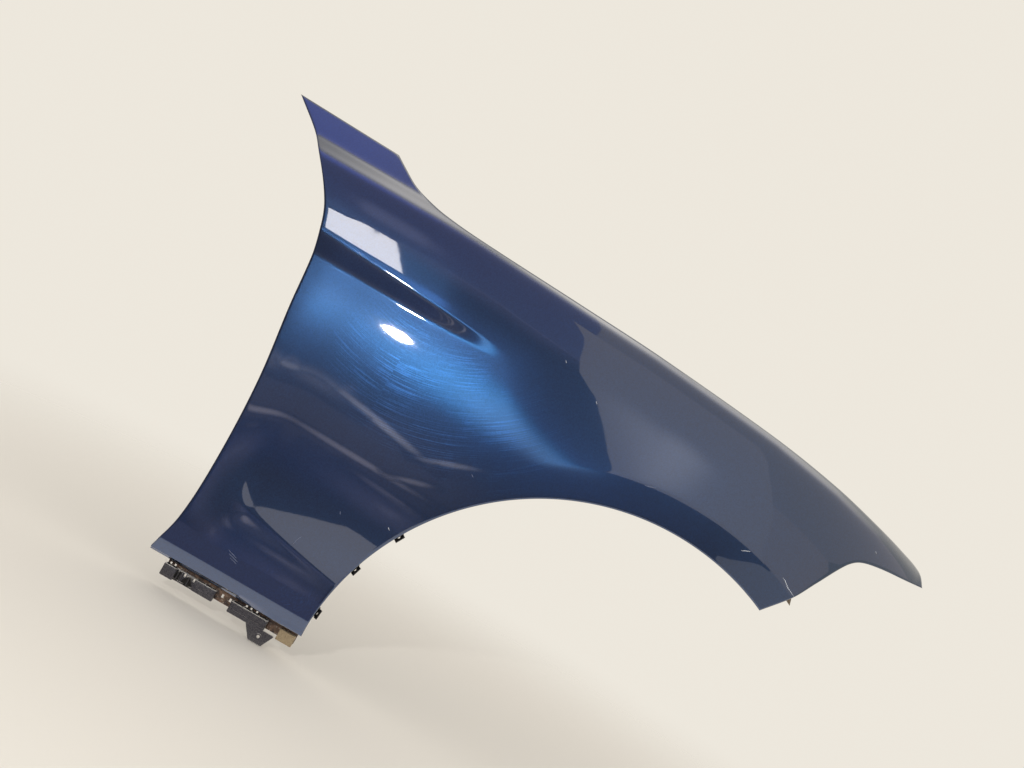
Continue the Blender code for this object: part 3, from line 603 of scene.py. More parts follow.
def plate(outline, move, name):
    """A flat shape through a ring of places, pushed along a way to give it body."""
    deselect()
    bpy.ops.mesh.primitive_circle_add(vertices=len(outline), radius=1.0, fill_type="NGON")
    made = bpy.context.object
    made.name = name
    for vertex, corner in zip(made.data.vertices, outline):
        vertex.co = corner
    bpy.ops.object.mode_set(mode="EDIT")
    bpy.ops.mesh.select_all(action="SELECT")
    bpy.ops.mesh.extrude_region_move(TRANSFORM_OT_translate={"value": move})
    bpy.ops.mesh.select_all(action="SELECT")
    bpy.ops.mesh.normals_make_consistent(inside=False)
    bpy.ops.object.mode_set(mode="OBJECT")
    return made


def cut(target, cutters):
    """Cuts other pieces out of the target and removes them."""
    tool = joined("cutter", cutters)
    applied(target, "BOOLEAN", operation="DIFFERENCE", object=tool, solver="EXACT")
    bpy.data.objects.remove(tool, do_unlink=True)


def finished(piece, replaced=(), angle=30.0):
    """Sets a finished piece down at the origin, smooth by angle, and lets it ride on the part."""
    choose(piece)
    bpy.ops.object.transform_apply(location=True, rotation=True, scale=True)
    bpy.ops.object.shade_smooth_by_angle(angle=math.radians(angle))
    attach(piece, "root")
    if replaced:
        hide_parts(*replaced)


# Materials

def add(tree, kind, links=None, **settings):
    """Adds a shader node with its settings and its inputs, each a value or another node's output."""
    made = tree.nodes.new("ShaderNode" + kind)
    for name, value in settings.items():
        setattr(made, name, value)
    for socket, value in (links or {}).items():
        if isinstance(value, bpy.types.NodeSocket):
            tree.links.new(value, made.inputs[socket])
        else:
            made.inputs[socket].default_value = value
    return made


def blank(name):
    """A new material's tree with its Principled shader."""
    made = bpy.data.materials.new(name)
    made.use_nodes = True
    return made, made.node_tree, made.node_tree.nodes["Principled BSDF"]


def metallic_paint(colours):
    """Two-layer metallic car paint: blue base coat with aluminium flakes under a polished clear coat.

    The flakes spread each light into a blue glow, and the clear coat adds a sharp, weaker mirror.
    Polishing has left fine arcs round the middle of the panel and above the sill; they are painted up to 2.5
    times brighter than the base blue, a painted highlight of the lamp caught in them.
    """
    made, tree, shader = blank("blue_metallic_paint")
    place = add(tree, "TexCoord").outputs["Object"]
    # Flakes of about 0.1 mm are far too fine to show, so the sparkle is drawn at 1.5 mm
    flakes = add(tree, "TexVoronoi", {"Vector": place, "Scale": 650.0}, feature="F1")
    sparkle = add(tree, "MapRange", {"Value": flakes.outputs["Color"], "To Min": 0.80, "To Max": 1.22})
    # Painted highlight: where the polishing arcs lie, the base blue is multiplied up to 2.5 times, standing for
    # the lamp's glint in the scratches
    large, small = (polish_arcs_and_glint(tree, place, *patch) for patch in POLISH_GLINT_PATCHES)
    arcs = add(tree, "Math", {0: large, 1: small}, operation="MAXIMUM")
    glint_gain = add(tree, "MapRange", {"Value": arcs.outputs[0], "To Min": 1.0, "To Max": 2.5})
    glint_gain = add(tree, "Math", {0: glint_gain.outputs[0], 1: sparkle.outputs[0]}, operation="MULTIPLY")
    blue = add(tree, "Mix", {0: 1.0, 6: linear(colours.paint), 7: glint_gain.outputs[0]},
               data_type="RGBA", blend_type="MULTIPLY")
    tree.links.new(blue.outputs[2], shader.inputs["Base Color"])
    shader.inputs["Metallic"].default_value = 0.87
    shader.inputs["Roughness"].default_value = 0.31
    shader.inputs["Coat Weight"].default_value = 1.0
    shader.inputs["Coat Roughness"].default_value = 0.025
    shader.inputs["Coat IOR"].default_value = 1.55
    # Orange peel of the clear coat in waves of about 8 mm, and shallow dents of about 60 mm low on the panel
    peel = add(tree, "TexNoise", {"Vector": place, "Scale": 120.0, "Detail": 0.0})
    dents = add(tree, "TexNoise", {"Vector": place, "Scale": 15.0, "Detail": 2.0})
    height = add(tree, "SeparateXYZ", {0: place}).outputs["Z"]
    low = add(tree, "MapRange", {"Value": height, "From Min": 0.36, "From Max": 0.26})
    dents = add(tree, "Math", {0: dents.outputs["Fac"], 1: low.outputs[0]}, operation="MULTIPLY")
    bump = add(tree, "Bump", {"Height": dents.outputs[0], "Strength": 0.04, "Distance": 0.001})
    bump = add(tree, "Bump", {"Height": peel.outputs["Fac"], "Strength": 0.003, "Distance": 0.001,
                              "Normal": bump.outputs["Normal"]})
    tree.links.new(bump.outputs["Normal"], shader.inputs["Coat Normal"])
    return made


def polish_arcs_and_glint(tree, place, centre, middle, reach):
    """Fine arcs, about 1.5 mm apart and up to 100 mm long, round a centre and within a patch; the share they
    give brightens the paint as a painted highlight.
    """
    ahead = add(tree, "VectorMath", {0: place, 1: centre}, operation="SUBTRACT").outputs[0]
    radius = add(tree, "VectorMath", {0: ahead}, operation="LENGTH").outputs["Value"]
    parts = add(tree, "SeparateXYZ", {0: ahead})
    angle = add(tree, "Math", {0: parts.outputs["X"], 1: parts.outputs["Z"]}, operation="ARCTAN2")
    along = add(tree, "Math", {0: angle.outputs[0], 1: 0.005}, operation="MULTIPLY")
    spun = add(tree, "CombineXYZ", {0: radius, 1: along.outputs[0]})
    lines = add(tree, "TexNoise", {"Vector": spun.outputs[0], "Scale": 680.0, "Detail": 2.0})
    fine = add(tree, "MapRange", {"Value": lines.outputs["Fac"], "From Min": 0.48, "From Max": 0.70})
    clouds = add(tree, "TexNoise", {"Vector": place, "Scale": 18.0, "Detail": 2.0})
    patchy = add(tree, "MapRange", {"Value": clouds.outputs["Fac"], "From Min": 0.36, "From Max": 0.58})
    away = add(tree, "VectorMath", {0: place, 1: middle}, operation="SUBTRACT")
    away = add(tree, "VectorMath", {0: away.outputs[0], 1: reach}, operation="DIVIDE")
    away = add(tree, "VectorMath", {0: away.outputs[0]}, operation="LENGTH")
    near = add(tree, "MapRange", {"Value": away.outputs["Value"], "From Min": 1.0, "From Max": 0.4},
               interpolation_type="SMOOTHSTEP")
    shown = add(tree, "Math", {0: fine.outputs[0], 1: near.outputs[0]}, operation="MULTIPLY")
    return add(tree, "Math", {0: shown.outputs[0], 1: patchy.outputs[0]}, operation="MULTIPLY").outputs[0]


def dull_primer(colours):
    """Electro-dipped primer under thin blue overspray on the inside of the sheet, matt, dusty low down."""
    made, tree, shader = blank("inner_primer")
    place = add(tree, "TexCoord").outputs["Object"]
    # Clouds of overspray of about 70 mm, and specks of dust of about 4 mm
    clouds = add(tree, "TexNoise", {"Vector": place, "Scale": 14.0, "Detail": 3.0})
    thin = add(tree, "MapRange", {"Value": clouds.outputs["Fac"], "From Min": 0.30, "From Max": 0.70,
                                "To Max": 0.7})
    colour = add(tree, "Mix", {0: thin.outputs["Result"], 6: linear(colours.primer),
                               7: linear(colours.overspray)}, data_type="RGBA")
    specks = add(tree, "TexNoise", {"Vector": place, "Scale": 240.0, "Detail": 6.0, "Roughness": 0.65})
    lying = add(tree, "MapRange", {"Value": specks.outputs["Fac"], "From Min": 0.40, "From Max": 0.80})
    height = add(tree, "SeparateXYZ", {0: place}).outputs["Z"]
    low = add(tree, "MapRange", {"Value": height, "From Min": 0.45, "From Max": 0.02, "To Min": 0.12,
                               "To Max": 0.6})
    dusty = add(tree, "Math", {0: lying.outputs[0], 1: low.outputs[0]}, operation="MULTIPLY")
    colour = add(tree, "Mix", {0: dusty.outputs[0], 6: colour.outputs[2], 7: linear(colours.dust)},
                 data_type="RGBA")
    tree.links.new(colour.outputs[2], shader.inputs["Base Color"])
    shader.inputs["Roughness"].default_value = 0.62
    return made


def bare_primer(name, light, dark):
    """Pale primer and crushed clear coat where chips and scratches go through the paint, chalky and matt."""
    made, tree, shader = blank(name)
    place = add(tree, "TexCoord").outputs["Object"]
    # Grain of about 0.7 mm
    grain = add(tree, "TexNoise", {"Vector": place, "Scale": 1500.0, "Detail": 2.0})
    colour = add(tree, "Mix", {0: grain.outputs["Fac"], 6: linear(light), 7: linear(dark)},
                 data_type="RGBA")
    tree.links.new(colour.outputs[2], shader.inputs["Base Color"])
    shader.inputs["Roughness"].default_value = 0.7
    return made


def rusty_steel(colours):
    """Sill flange whose paint has worn off: brown rust with darker pits and a few pale specks, matt."""
    made, tree, shader = blank("rusty_steel")
    place = add(tree, "TexCoord").outputs["Object"]
    # Patches of rust of about 8 mm, and pits of about 2 mm
    patches = add(tree, "TexNoise", {"Vector": place, "Scale": 120.0, "Detail": 5.0, "Roughness": 0.7})
    worn = add(tree, "MapRange", {"Value": patches.outputs["Fac"], "From Min": 0.36, "From Max": 0.62})
    colour = add(tree, "Mix", {0: worn.outputs["Result"], 6: linear(colours.plastic), 7: linear(colours.rust)},
                 data_type="RGBA")
    pits = add(tree, "TexNoise", {"Vector": place, "Scale": 420.0, "Detail": 3.0})
    pale = add(tree, "MapRange", {"Value": pits.outputs["Fac"], "From Min": 0.60, "From Max": 0.72})
    colour = add(tree, "Mix", {0: pale.outputs["Result"], 6: colour.outputs[2], 7: linear(colours.dust)},
                 data_type="RGBA")
    tree.links.new(colour.outputs[2], shader.inputs["Base Color"])
    shader.inputs["Roughness"].default_value = 0.75
    bump = add(tree, "Bump", {"Height": patches.outputs["Fac"], "Strength": 0.5, "Distance": 0.0005})
    tree.links.new(bump.outputs["Normal"], shader.inputs["Normal"])
    return made


def soiled(name, hex_colour, dust, roughness, metallic=0.0, amount=0.5, lying=0.0):
    """A worn solid finish with fine dust rubbed in, and the second colour laid on what faces up: on the
    holders, pale tops that are partly dust and partly a painted highlight.
    """
    made, tree, shader = blank(name)
    place = add(tree, "TexCoord").outputs["Object"]
    # Dust in clouds of about 2 mm
    clouds = add(tree, "TexNoise", {"Vector": place, "Scale": 520.0, "Detail": 5.0, "Roughness": 0.6})
    ramp = add(tree, "MapRange", {"Value": clouds.outputs["Fac"], "From Min": 0.38, "From Max": 0.78,
                                  "To Max": amount})
    # Painted highlight: faces turned up are mixed toward the second colour, lighter tops as if lit from above
    facing = add(tree, "SeparateXYZ", {0: add(tree, "NewGeometry").outputs["Normal"]}).outputs["Z"]
    upper = add(tree, "MapRange", {"Value": facing, "From Min": 0.25, "From Max": 0.65, "To Max": lying})
    share = add(tree, "Math", {0: ramp.outputs["Result"], 1: upper.outputs[0]}, operation="MAXIMUM")
    colour = add(tree, "Mix", {0: share.outputs[0], 6: linear(hex_colour), 7: linear(dust)}, data_type="RGBA")
    tree.links.new(colour.outputs[2], shader.inputs["Base Color"])
    shader.inputs["Roughness"].default_value = roughness
    shader.inputs["Metallic"].default_value = metallic
    bump = add(tree, "Bump", {"Height": clouds.outputs["Fac"], "Strength": 0.25, "Distance": 0.0006})
    tree.links.new(bump.outputs["Normal"], shader.inputs["Normal"])
    return made


# Shaping of the small pieces

def chips(name, marks, material):
    """Thin tapering flakes laid on the outer face along lines of places."""
    ribbons = []
    for number, (line, width) in enumerate(marks):
        points = np.array(line) + np.array([DATUM.x, DATUM.z])
        shares = np.linspace(0.0, 1.0, 4 * len(points) + 1)
        gaps = np.linspace(0.0, 1.0, len(points))
        places = np.column_stack([np.interp(shares, gaps, points[:, axis]) for axis in (0, 1)])
        along = np.gradient(places, axis=0)
        across = np.column_stack([-along[:, 1], along[:, 0]]) / np.linalg.norm(along, axis=1)[:, None]
        ragged = np.random.default_rng(number).uniform(0.55, 1.0, len(shares))
        half = 0.5 * width * np.sqrt(np.clip(1.02 - (2.0 * shares - 1.0) ** 2, 0.02, 1.0)) * ragged
        rows = []
        for side in (-1.0, 1.0):
            row = places + side * across * half[:, None]
            rows.append(np.column_stack([row[:, 0], panel_depth(row[:, 0], row[:, 1]) - CHIP_RISE, row[:, 1]]))
        ribbons.append(shaped_grid(name, np.array(rows)))
    made = joined(name, ribbons)
    made.data.materials.append(material)
    return made


def sill_block(start, end, depth, low, high, back=-SEAT_GAP):
    """A box in front of the sill flange, between two distances forward of the sill's rear corner."""
    return brick(row_place(SILL_REAR + start, SILL_FLANGE_Y - depth, low),
                 row_place(SILL_REAR + end, SILL_FLANGE_Y + back, high))


def hooked(start, end, depth, floor):
    """A moulded box in front of the flange with a floor and a hook that grips the flange from below."""
    flange_low = SILL_Z - SILL_FLANGE_DROP
    body = rounded(sill_block(start, end, depth, flange_low - SEAT_GAP - floor, HOLDER_TOP), 0.0012)
    floor_box = sill_block(start + 0.001, end - 0.001, depth - 0.002, flange_low - SEAT_GAP - floor,
                           flange_low - SEAT_GAP, HOOK_FAR)
    hook_low = flange_low - 0.001 - floor / 2
    hook = brick(row_place(SILL_REAR + start + 0.001, SILL_FLANGE_Y + HOOK_NEAR, hook_low),
                 row_place(SILL_REAR + end - 0.001, SILL_FLANGE_Y + HOOK_FAR, flange_low + HOOK_RISE))
    return fused(body, [floor_box, rounded(hook, 0.0006)])


def pocket_cutters(pockets):
    """Boxes that cut the open pockets into the upper side of a holder."""
    return [sill_block(start, end, depth, HOLDER_TOP - drop, HOLDER_TOP + 0.001, -POCKET_BACK)
            for start, end, depth, drop in pockets]


def coated(piece, name, material, node, angle):
    """Names a moulded piece, gives it one finish and sets it in place of its CAD node."""
    piece.name = name
    piece.data.materials.clear()
    piece.data.materials.append(material)
    finished(piece, [node], angle)


# The room that mirrors show

def oblong(low_a, high_a, low_b, high_b):
    """Corners of an oblong in a plane."""
    return [(low_a, low_b), (high_a, low_b), (high_a, high_b), (low_a, high_b)]


def upright(y, corners):
    """Corners of an upright card in front of the part, from (X, Z)."""
    return [(x, y, z) for x, z in corners]


def level(z, corners):
    """Corners of a level card above or below the part, from (X, Y)."""
    return [(x, y, z) for x, y in corners]


# Cards that only mirrors see: corners, colour, brightness. Their outlines are worked out for the
# photograph's viewpoint, so that the clear coat mirrors there what it mirrors in the photograph;
# from other sides it shows the same cards as plain patches.
CARDS = {
    "room_wall": (upright(-2.62, oblong(-6.0, 6.0, -0.45, 3.06)), "CCBCC8", 0.46),
    "low_wall": (upright(-3.40, oblong(-6.0, 6.0, -0.75, -0.30)), "CCBCC8", 0.46),
    "left_wall": ([(-3.2, y, z) for y, z in oblong(-2.7, 2.6, -0.7, 3.1)], "CCBCC8", 0.42),
    "left_ceiling": (level(3.05, oblong(-6.0, 0.80, -2.62, 1.00)), "B8B4DC", 1.20),
    "far_ceiling": (level(3.05, oblong(-6.0, 0.80, 1.00, 4.0)), "CCC8C4", 0.80),
    "bright_wall": (upright(-2.60, oblong(0.66, 6.0, 1.22, 3.05)), "D6CAC6", 1.98),
    "bright_ceiling": (level(3.04, [(0.66, -2.62), (6.0, -2.62), (6.0, 1.30), (0.42, 1.30), (0.46, 0.50),
                                    (0.54, -0.90), (0.66, -0.95)]), "D6CCC8", 1.75),
    "near_wall": (upright(-0.60, [(0.95, 0.56), (0.95, 2.20), (0.33, 2.20), (0.325, 1.60), (0.31, 1.38),
                                  (0.288, 1.12), (0.280, 0.95), (0.300, 0.82), (0.300, 0.75), (0.292, 0.68),
                                  (0.300, 0.56)]), "D6CCCA", 2.12),
    "sill_shade": (upright(-0.14, oblong(-0.40, 0.15, -0.10, 0.040)), "C0B8D8", 0.95),
    "side_shelf": (upright(-2.60, [(1.30, -0.62), (6.0, -0.62), (6.0, 1.22), (2.75, 1.22), (2.60, 0.98),
                                   (2.19, 0.88), (1.91, 0.82), (1.60, 0.76), (1.35, 0.73)]), "C8C4C8", 1.75),
    "dark_floor": (level(-0.63, oblong(-6.0, 6.0, -3.40, -0.15)), "CCBCC8", 0.46),
    "front_floor": (level(-0.62, [(6.0, 0.25), (-0.90, 0.25), (-0.90, -0.15), (-0.66, -1.00), (-0.393, -1.739),
                                  (-0.337, -1.900), (-0.279, -2.069), (-0.211, -2.250), (-0.150, -2.24),
                                  (-0.040, -2.18), (0.0, -1.95), (0.15, -1.95), (0.15, -2.75),
                                  (6.0, -2.75)]), "D2CCCE", 2.7),
    "window": (upright(-2.58, [(-0.84, 2.73), (-0.57, 2.98), (-0.42, 1.69), (-0.72, 1.71)]), "F0ECEC", 15.5),
}

# Glows with soft edges that only mirrors see: centre, half sizes, turn in degrees, colour, brightness.
# blue_glow, under_window, horn_glow and groove_glow are blue light. They stand in for the wide glow of
# the flakes round the hand lamp, which one rough metal layer leaves too small, so the bright blue
# is not the paint's own colour.
GLOWS = {
    "blue_glow": ((-0.10, -2.55, 0.90), (0.66, 0.36), (90.0, 6.0, 0.0), "329AE4", 7.1),
    "polish_haze": ((0.10, -2.54, 0.84), (0.42, 0.28), (90.0, 8.0, 0.0), "DCD8E4", 0.9),
    "wall_top": ((-0.20, -2.56, 3.05), (1.60, 0.95), (90.0, 0.0, 0.0), "B8B4DC", 0.7),
    "under_window": ((-0.25, -2.55, 1.50), (0.40, 0.30), (90.0, 0.0, 0.0), "4E8EEC", 4.2),
    "front_glow": ((0.41, -0.59, 0.84), (0.13, 0.30), (90.0, 12.0, 0.0), "E0E0E8", 1.3),
    "shoulder_glow": ((1.0, 1.45, 3.0), (3.2, 1.35), (0.0, 0.0, 0.0), "E2D8C8", 2.0),
    "shoulder_mid": ((-0.42, 1.60, 2.99), (0.55, 0.80), (0.0, 0.0, 0.0), "E2DCD4", 1.3),
    "edge_mid": ((0.38, 1.50, 2.99), (0.50, 0.70), (0.0, 0.0, 0.0), "E2D8C8", 2.2),
    "horn_glow": ((-0.75, 0.50, 2.98), (0.80, 0.75), (0.0, 0.0, 0.0), "3A66E8", 1.1),
    "upper_cloud": ((-0.50, -1.70, 2.98), (0.28, 0.60), (0.0, 0.0, 0.0), "B8BCE0", 1.2),
    "wide_haze": ((-0.40, -2.54, 0.05), (0.85, 0.60), (90.0, 0.0, 0.0), "D4CCE0", 0.50),
    "upper_streak": ((-0.31, -2.54, 0.262), (0.34, 0.055), (90.0, 24.0, 0.0), "D8D4DC", 3.2),
    "upper_turn": ((-0.455, -2.54, 0.38), (0.035, 0.10), (90.0, 8.0, 0.0), "D4D0E0", 1.2),
    "upper_hook": ((-0.02, -2.54, 0.25), (0.22, 0.035), (90.0, -40.0, 0.0), "D8D4DC", 2.4),
    "lower_streak": ((-0.33, -2.54, -0.115), (0.40, 0.045), (90.0, 3.0, 0.0), "D8D0DC", 2.3),
    "lower_hook": ((-0.11, -2.54, -0.05), (0.15, 0.035), (90.0, -36.0, 0.0), "D8D0DC", 1.9),
    "door_cloud": ((-0.58, -2.54, 0.33), (0.25, 0.14), (90.0, 10.0, 0.0), "D4D0E0", 0.9),
    "arch_cloud": ((-0.13, -2.54, -0.40), (0.10, 0.06), (90.0, 0.0, 0.0), "D4D0E0", 0.7),
    "groove_glow": ((-0.45, -2.50, -0.34), (0.55, 0.38), (90.0, 0.0, 0.0), "3470D8", 0.45),
    "low_haze": ((-0.14, -2.54, -0.42), (0.40, 0.20), (90.0, 6.0, 0.0), "B4B0DC", 0.65),
    "sill_streak": ((-0.15, -2.54, -0.27), (0.24, 0.05), (90.0, 13.0, 0.0), "D4CCE0", 1.0),
}

# Lamps: place, aim, width, height, power in watts
LAMPS = {
    "hand_lamp": ((-0.42, -2.55, 1.035), (0.0, -0.04, 0.40), 0.100, 0.066, 17.5),
}


# Operators, one for each piece or group of like pieces

class FENDER_OT_skin(bpy.types.Operator):
    """Models the pressed skin with its flanges and holes and paints it"""
    bl_idname = "fender.skin"
    bl_label = "Pressed skin"

    def execute(self, context):
        sizes = context.scene.fender_skin_sizes
        colours = context.scene.fender_colours
        rear, front, first_front = skin_grids(sizes)
        pieces = [shaped_grid("skin_rear", rear), shaped_grid("skin_front", front)]
        pieces += [shaped_grid("flange", rows) for rows in self.flanges(sizes.fold, rear, front, first_front)]
        skin = joined("pressed_skin", pieces, merge=WELD_GAP)
        broadest = max(skin.data.polygons, key=lambda face: face.area)
        if broadest.normal.y > 0.0:
            skin.data.flip_normals()
        skin.data.materials.append(metallic_paint(colours))
        skin.data.materials.append(dull_primer(colours))
        applied(skin, "SOLIDIFY", thickness=sizes.sheet, offset=-1.0, use_even_offset=True, material_offset=1,
                material_offset_rim=0)
        # Keeps the wall in the solid's box: it would stand out by 1 mm where the nose meets the hood edge
        for vertex in skin.data.vertices:
            vertex.co.y = min(max(vertex.co.y, CAD_BOX[0][1]), CAD_BOX[1][1])
        cut(skin, self.hole_cutters(sizes))
        skin.data.materials.append(rusty_steel(colours))
        flange_top = row_place(0.0, 0.0, SILL_Z - RUST_DROP).z
        for face in skin.data.polygons:
            if face.center.z < flange_top:
                face.material_index = 2
        finished(skin, ["fender_skin"], 32.0)
        return {"FINISHED"}

    def flanges(self, fold, rear, front, first_front):
        """Rows of places of each flange that folds back from a rim of the outer face."""
        inner = 5
        door = Rim(rear[:, 0], rear[:, inner])
        sill = Rim(rear[0], rear[inner])
        arch = Rim(np.vstack([rear[:first_front + 1, -1], front[0, 1:]]),
                   np.vstack([rear[:first_front + 1, -1 - inner], front[inner, 1:]]))
        top = Rim(np.vstack([rear[-1], front[-1, 1:]]), np.vstack([rear[-1 - inner], front[-1 - inner, 1:]]))
        bumper = Rim(front[:, -1], front[:, -1 - inner])
        x_sill = sill.points[:, 0] - SILL_REAR
        z_door = door.points[:, 2]
        x_top = top.points[:, 0]

        bends = [(fold * (1.0 - math.cos(turn)), SILL_FLANGE_Y - fold * (1.0 - math.sin(turn)), True)
                 for turn in np.radians([0.0, 22.5, 45.0, 67.5, 90.0])]
        drops = [(fold + (SILL_FLANGE_DROP - fold) * share, SILL_FLANGE_Y, True) for share in (0.33, 0.66, 1.0)]
        door_steps = [(0.0, DOOR_FLANGE * 0.5, False), (0.0, DOOR_FLANGE, False)]
        return [
            sill.part((x_sill > SILL_SPAN[0]) & (x_sill < SILL_SPAN[1])).ribbon(bends + drops),
            arch.part(arch.clear_of_ends(ARCH_FLANGE_END)).ribbon(
                [(0.0, ARCH_FLANGE * share, False) for share in (0.2, 0.4, 0.6, 0.8, 1.0)]),
            door.part((z_door > DOOR_FLANGE_LOW) & (z_door < HORN_KINK[1] - RAIL_DROP)).ribbon(door_steps),
            door.part((z_door > DOOR_TAB_Z[0]) & (z_door < DOOR_TAB_Z[1])).ribbon(
                door_steps + [(0.0, DOOR_TAB, False)])[2:],
            bumper.part(bumper.clear_of_ends(BUMPER_FLANGE_END)).ribbon(
                [(0.0, BUMPER_FLANGE * share, False) for share in (0.5, 1.0)]),
            top.part((x_top < HORN_KINK[0] - HORN_LIP) & (x_top > DOOR_EDGE[-1][0] + 2.0 * HORN_LIP)).ribbon(
                [(0.0, HORN_FLANGE, False), (-HORN_LIP, HORN_FLANGE, False)]),
            top.part((x_top > RAIL_SPAN[0]) & (x_top < RAIL_SPAN[1])).ribbon(
                [(0.0, RAIL_WIDTH, False), (-RAIL_DROP / 2, RAIL_WIDTH, False), (-RAIL_DROP, RAIL_WIDTH, False),
                 (-RAIL_DROP, RAIL_WIDTH + RAIL_FLANGE / 2, False),
                 (-RAIL_DROP, RAIL_WIDTH + RAIL_FLANGE, False)]),
        ]

    def hole_cutters(self, sizes):
        """Bars through the flanges where bolts, clips and tongues go."""
        cutters = []
        for x in RAIL_HOLES:
            z = float(height_on(SHOULDER_LINE, x))
            y = float(panel_depth(x, z)) + sizes.fold + RAIL_WIDTH + RAIL_HOLE_SHARE * RAIL_FLANGE
            cutters.append(bar(row_place(x, y, z - RAIL_DROP), (0, 0, 1), sizes.bolt_hole / 2, 0.012))
        for angle in np.radians(CLIP_ANGLES):
            out = Vector((math.cos(angle), 0.0, math.sin(angle)))
            edge = out * ARCH_RADIUS
            free_edge = float(panel_depth(edge.x, edge.z)) + sizes.fold + ARCH_FLANGE
            centre = row_place(edge.x, free_edge - CLIP_HOLE_IN, edge.z)
            cutters.append(bar(centre, out, sizes.pad_hole / 2, 0.012))
        for distance in SILL_NOTCHES:
            low = row_place(SILL_REAR + distance - NOTCH_SIZE[0] / 2, SILL_FLANGE_Y - NOTCH_SIZE[1] / 2,
                            SILL_Z - NOTCH_DROP)
            cutters.append(brick(low, low + Vector(NOTCH_SIZE)))
        slot_z = SILL_Z - SILL_FLANGE_DROP / 2
        for distance in SILL_SLOTS:
            centre = row_place(SILL_REAR + distance, SILL_FLANGE_Y, slot_z)
            half = Vector((sizes.slot_width / 2, 0.01, sizes.slot_height / 2))
            cutters.append(brick(centre - half, centre + half))
        return cutters


class FENDER_OT_damage(bpy.types.Operator):
    """Lays the chips and scratches that show the primer through the paint"""
    bl_idname = "fender.damage"
    bl_label = "Chips and scratches"

    def execute(self, context):
        colours = context.scene.fender_colours
        primer = bare_primer("bare_primer", colours.chip, colours.primer)
        finished(chips("paint_chips", CHIPS, primer))
        coat = bare_primer("scratched_coat", colours.scratch, colours.primer)
        finished(chips("paint_scratches", SCRATCHES, coat))
        return {"FINISHED"}


class FENDER_OT_holders(bpy.types.Operator):
    """Models the moulded sill holders and the rubber end pad"""
    bl_idname = "fender.holders"
    bl_label = "Sill holders"

    def execute(self, context):
        colours = context.scene.fender_colours
        # The holders' upward faces are mixed 90% toward the pale colour: partly dust, partly a painted
        # highlight of their lit tops
        plastic = soiled("black_moulded_plastic", colours.plastic, colours.scuff_and_highlight, 0.34, amount=0.16, lying=0.9)
        rubber = soiled("dusty_rubber", colours.rubber, colours.bracket, 0.9, amount=0.75)
        self.rear_holder(plastic)
        self.front_holder(plastic)
        self.end_pad(rubber)
        return {"FINISHED"}

    def rear_holder(self, plastic):
        """An end box with two pockets, a ribbed strip and a raised box with two more."""
        holder = hooked(*REAR_BOX, BOX_DEPTH, 0.0045)
        strip = hooked(REAR_BOX[1] - 0.002, RAISED_BOX[0] + 0.002, STRIP_DEPTH, 0.002)
        raised = hooked(*RAISED_BOX, RAISED_DEPTH, 0.0035)
        ribs = [rounded(sill_block(x, x + 0.0014, 0.0085, HOLDER_LOW, HOLDER_TOP - 0.002), 0.0004)
                for x in REAR_RIBS]
        lip = rounded(sill_block(REAR_BOX[1] - 0.001, RAISED_BOX[0] + 0.001, 0.0080, HOLDER_LOW,
                                 HOLDER_LOW + 0.0022), 0.0005)
        fused(holder, [strip, raised, lip] + ribs)
        cutters = pocket_cutters(REAR_POCKETS)
        cutters += [sill_block(x - 0.0015, x + 0.0015, 0.012, -0.0175, -0.0125, 0.006) for x in SILL_SLOTS[:2]]
        cutters.append(sill_block(0.0800, 0.1020, 0.0150, -0.0215, -0.0200, -0.0095))
        cut(holder, cutters)
        coated(holder, "rear_holder", plastic, "rear_sill_holder", 35.0)

    def front_holder(self, plastic):
        """A long box with four pockets, a groove along its face and a screw lug below."""
        holder = hooked(*FRONT_BOX, BOX_DEPTH, 0.0035)
        face = SILL_FLANGE_Y - BOX_DEPTH
        outline = [row_place(SILL_REAR + x, face + LUG_THICKNESS, HOLDER_LOW + z) for x, z in
                   [(LUG[0][0], 0.002)] + LUG + [(LUG[-1][0], 0.002)]]
        lug = rounded(plate(outline, (0.0, -LUG_THICKNESS, 0.0), "lug"), 0.0007)
        hole_x, hole_z = SILL_REAR + LUG_HOLE[0], HOLDER_LOW + LUG_HOLE[1]
        boss = bar(row_place(hole_x, face + 0.0018, hole_z), (0, 1, 0), 0.0042, 0.0046)
        ribs = [rounded(sill_block(x, x + 0.0016, 0.0135, HOLDER_LOW + 0.001, HOLDER_TOP - 0.0015), 0.0004)
                for x in FRONT_RIBS]
        lip = rounded(sill_block(0.1345, 0.1600, 0.0138, HOLDER_TOP - 0.0022, HOLDER_TOP - 0.0004), 0.0005)
        fused(holder, [lug, rounded(boss, 0.0004), lip] + ribs)
        cutters = pocket_cutters(FRONT_POCKETS)
        cutters.append(sill_block(0.1380, 0.1800, 0.0150, -0.0215, -0.0202, -0.0118))
        cutters.append(bar(row_place(hole_x, face, hole_z), (0, 1, 0), 0.00225, 0.03))
        cut(holder, cutters)
        coated(holder, "front_holder", plastic, "front_sill_holder", 35.0)

    def end_pad(self, rubber):
        """A perished block pushed over the end of the flange, its faces slightly wavy."""
        pad = hooked(*END_PAD, PAD_DEPTH, 0.0035)
        applied(pad, "REMESH", mode="VOXEL", voxel_size=PAD_VOXEL)
        places = np.empty(len(pad.data.vertices) * 3)
        pad.data.vertices.foreach_get("co", places)
        places = places.reshape(-1, 3)
        waves = np.sin(places * PAD_WAVES[0]) + np.sin(places[:, [1, 2, 0]] * PAD_WAVES[1] + 1.0)
        normals = np.empty(len(places) * 3)
        pad.data.vertices.foreach_get("normal", normals)
        normals = normals.reshape(-1, 3)
        places += normals * waves.sum(axis=1)[:, None] * PAD_WAVE_HEIGHT - normals * PAD_SHRINK
        pad.data.vertices.foreach_set("co", places.ravel())
        pad.data.update()
        coated(pad, "end_pad", rubber, "sill_end_pad", 50.0)


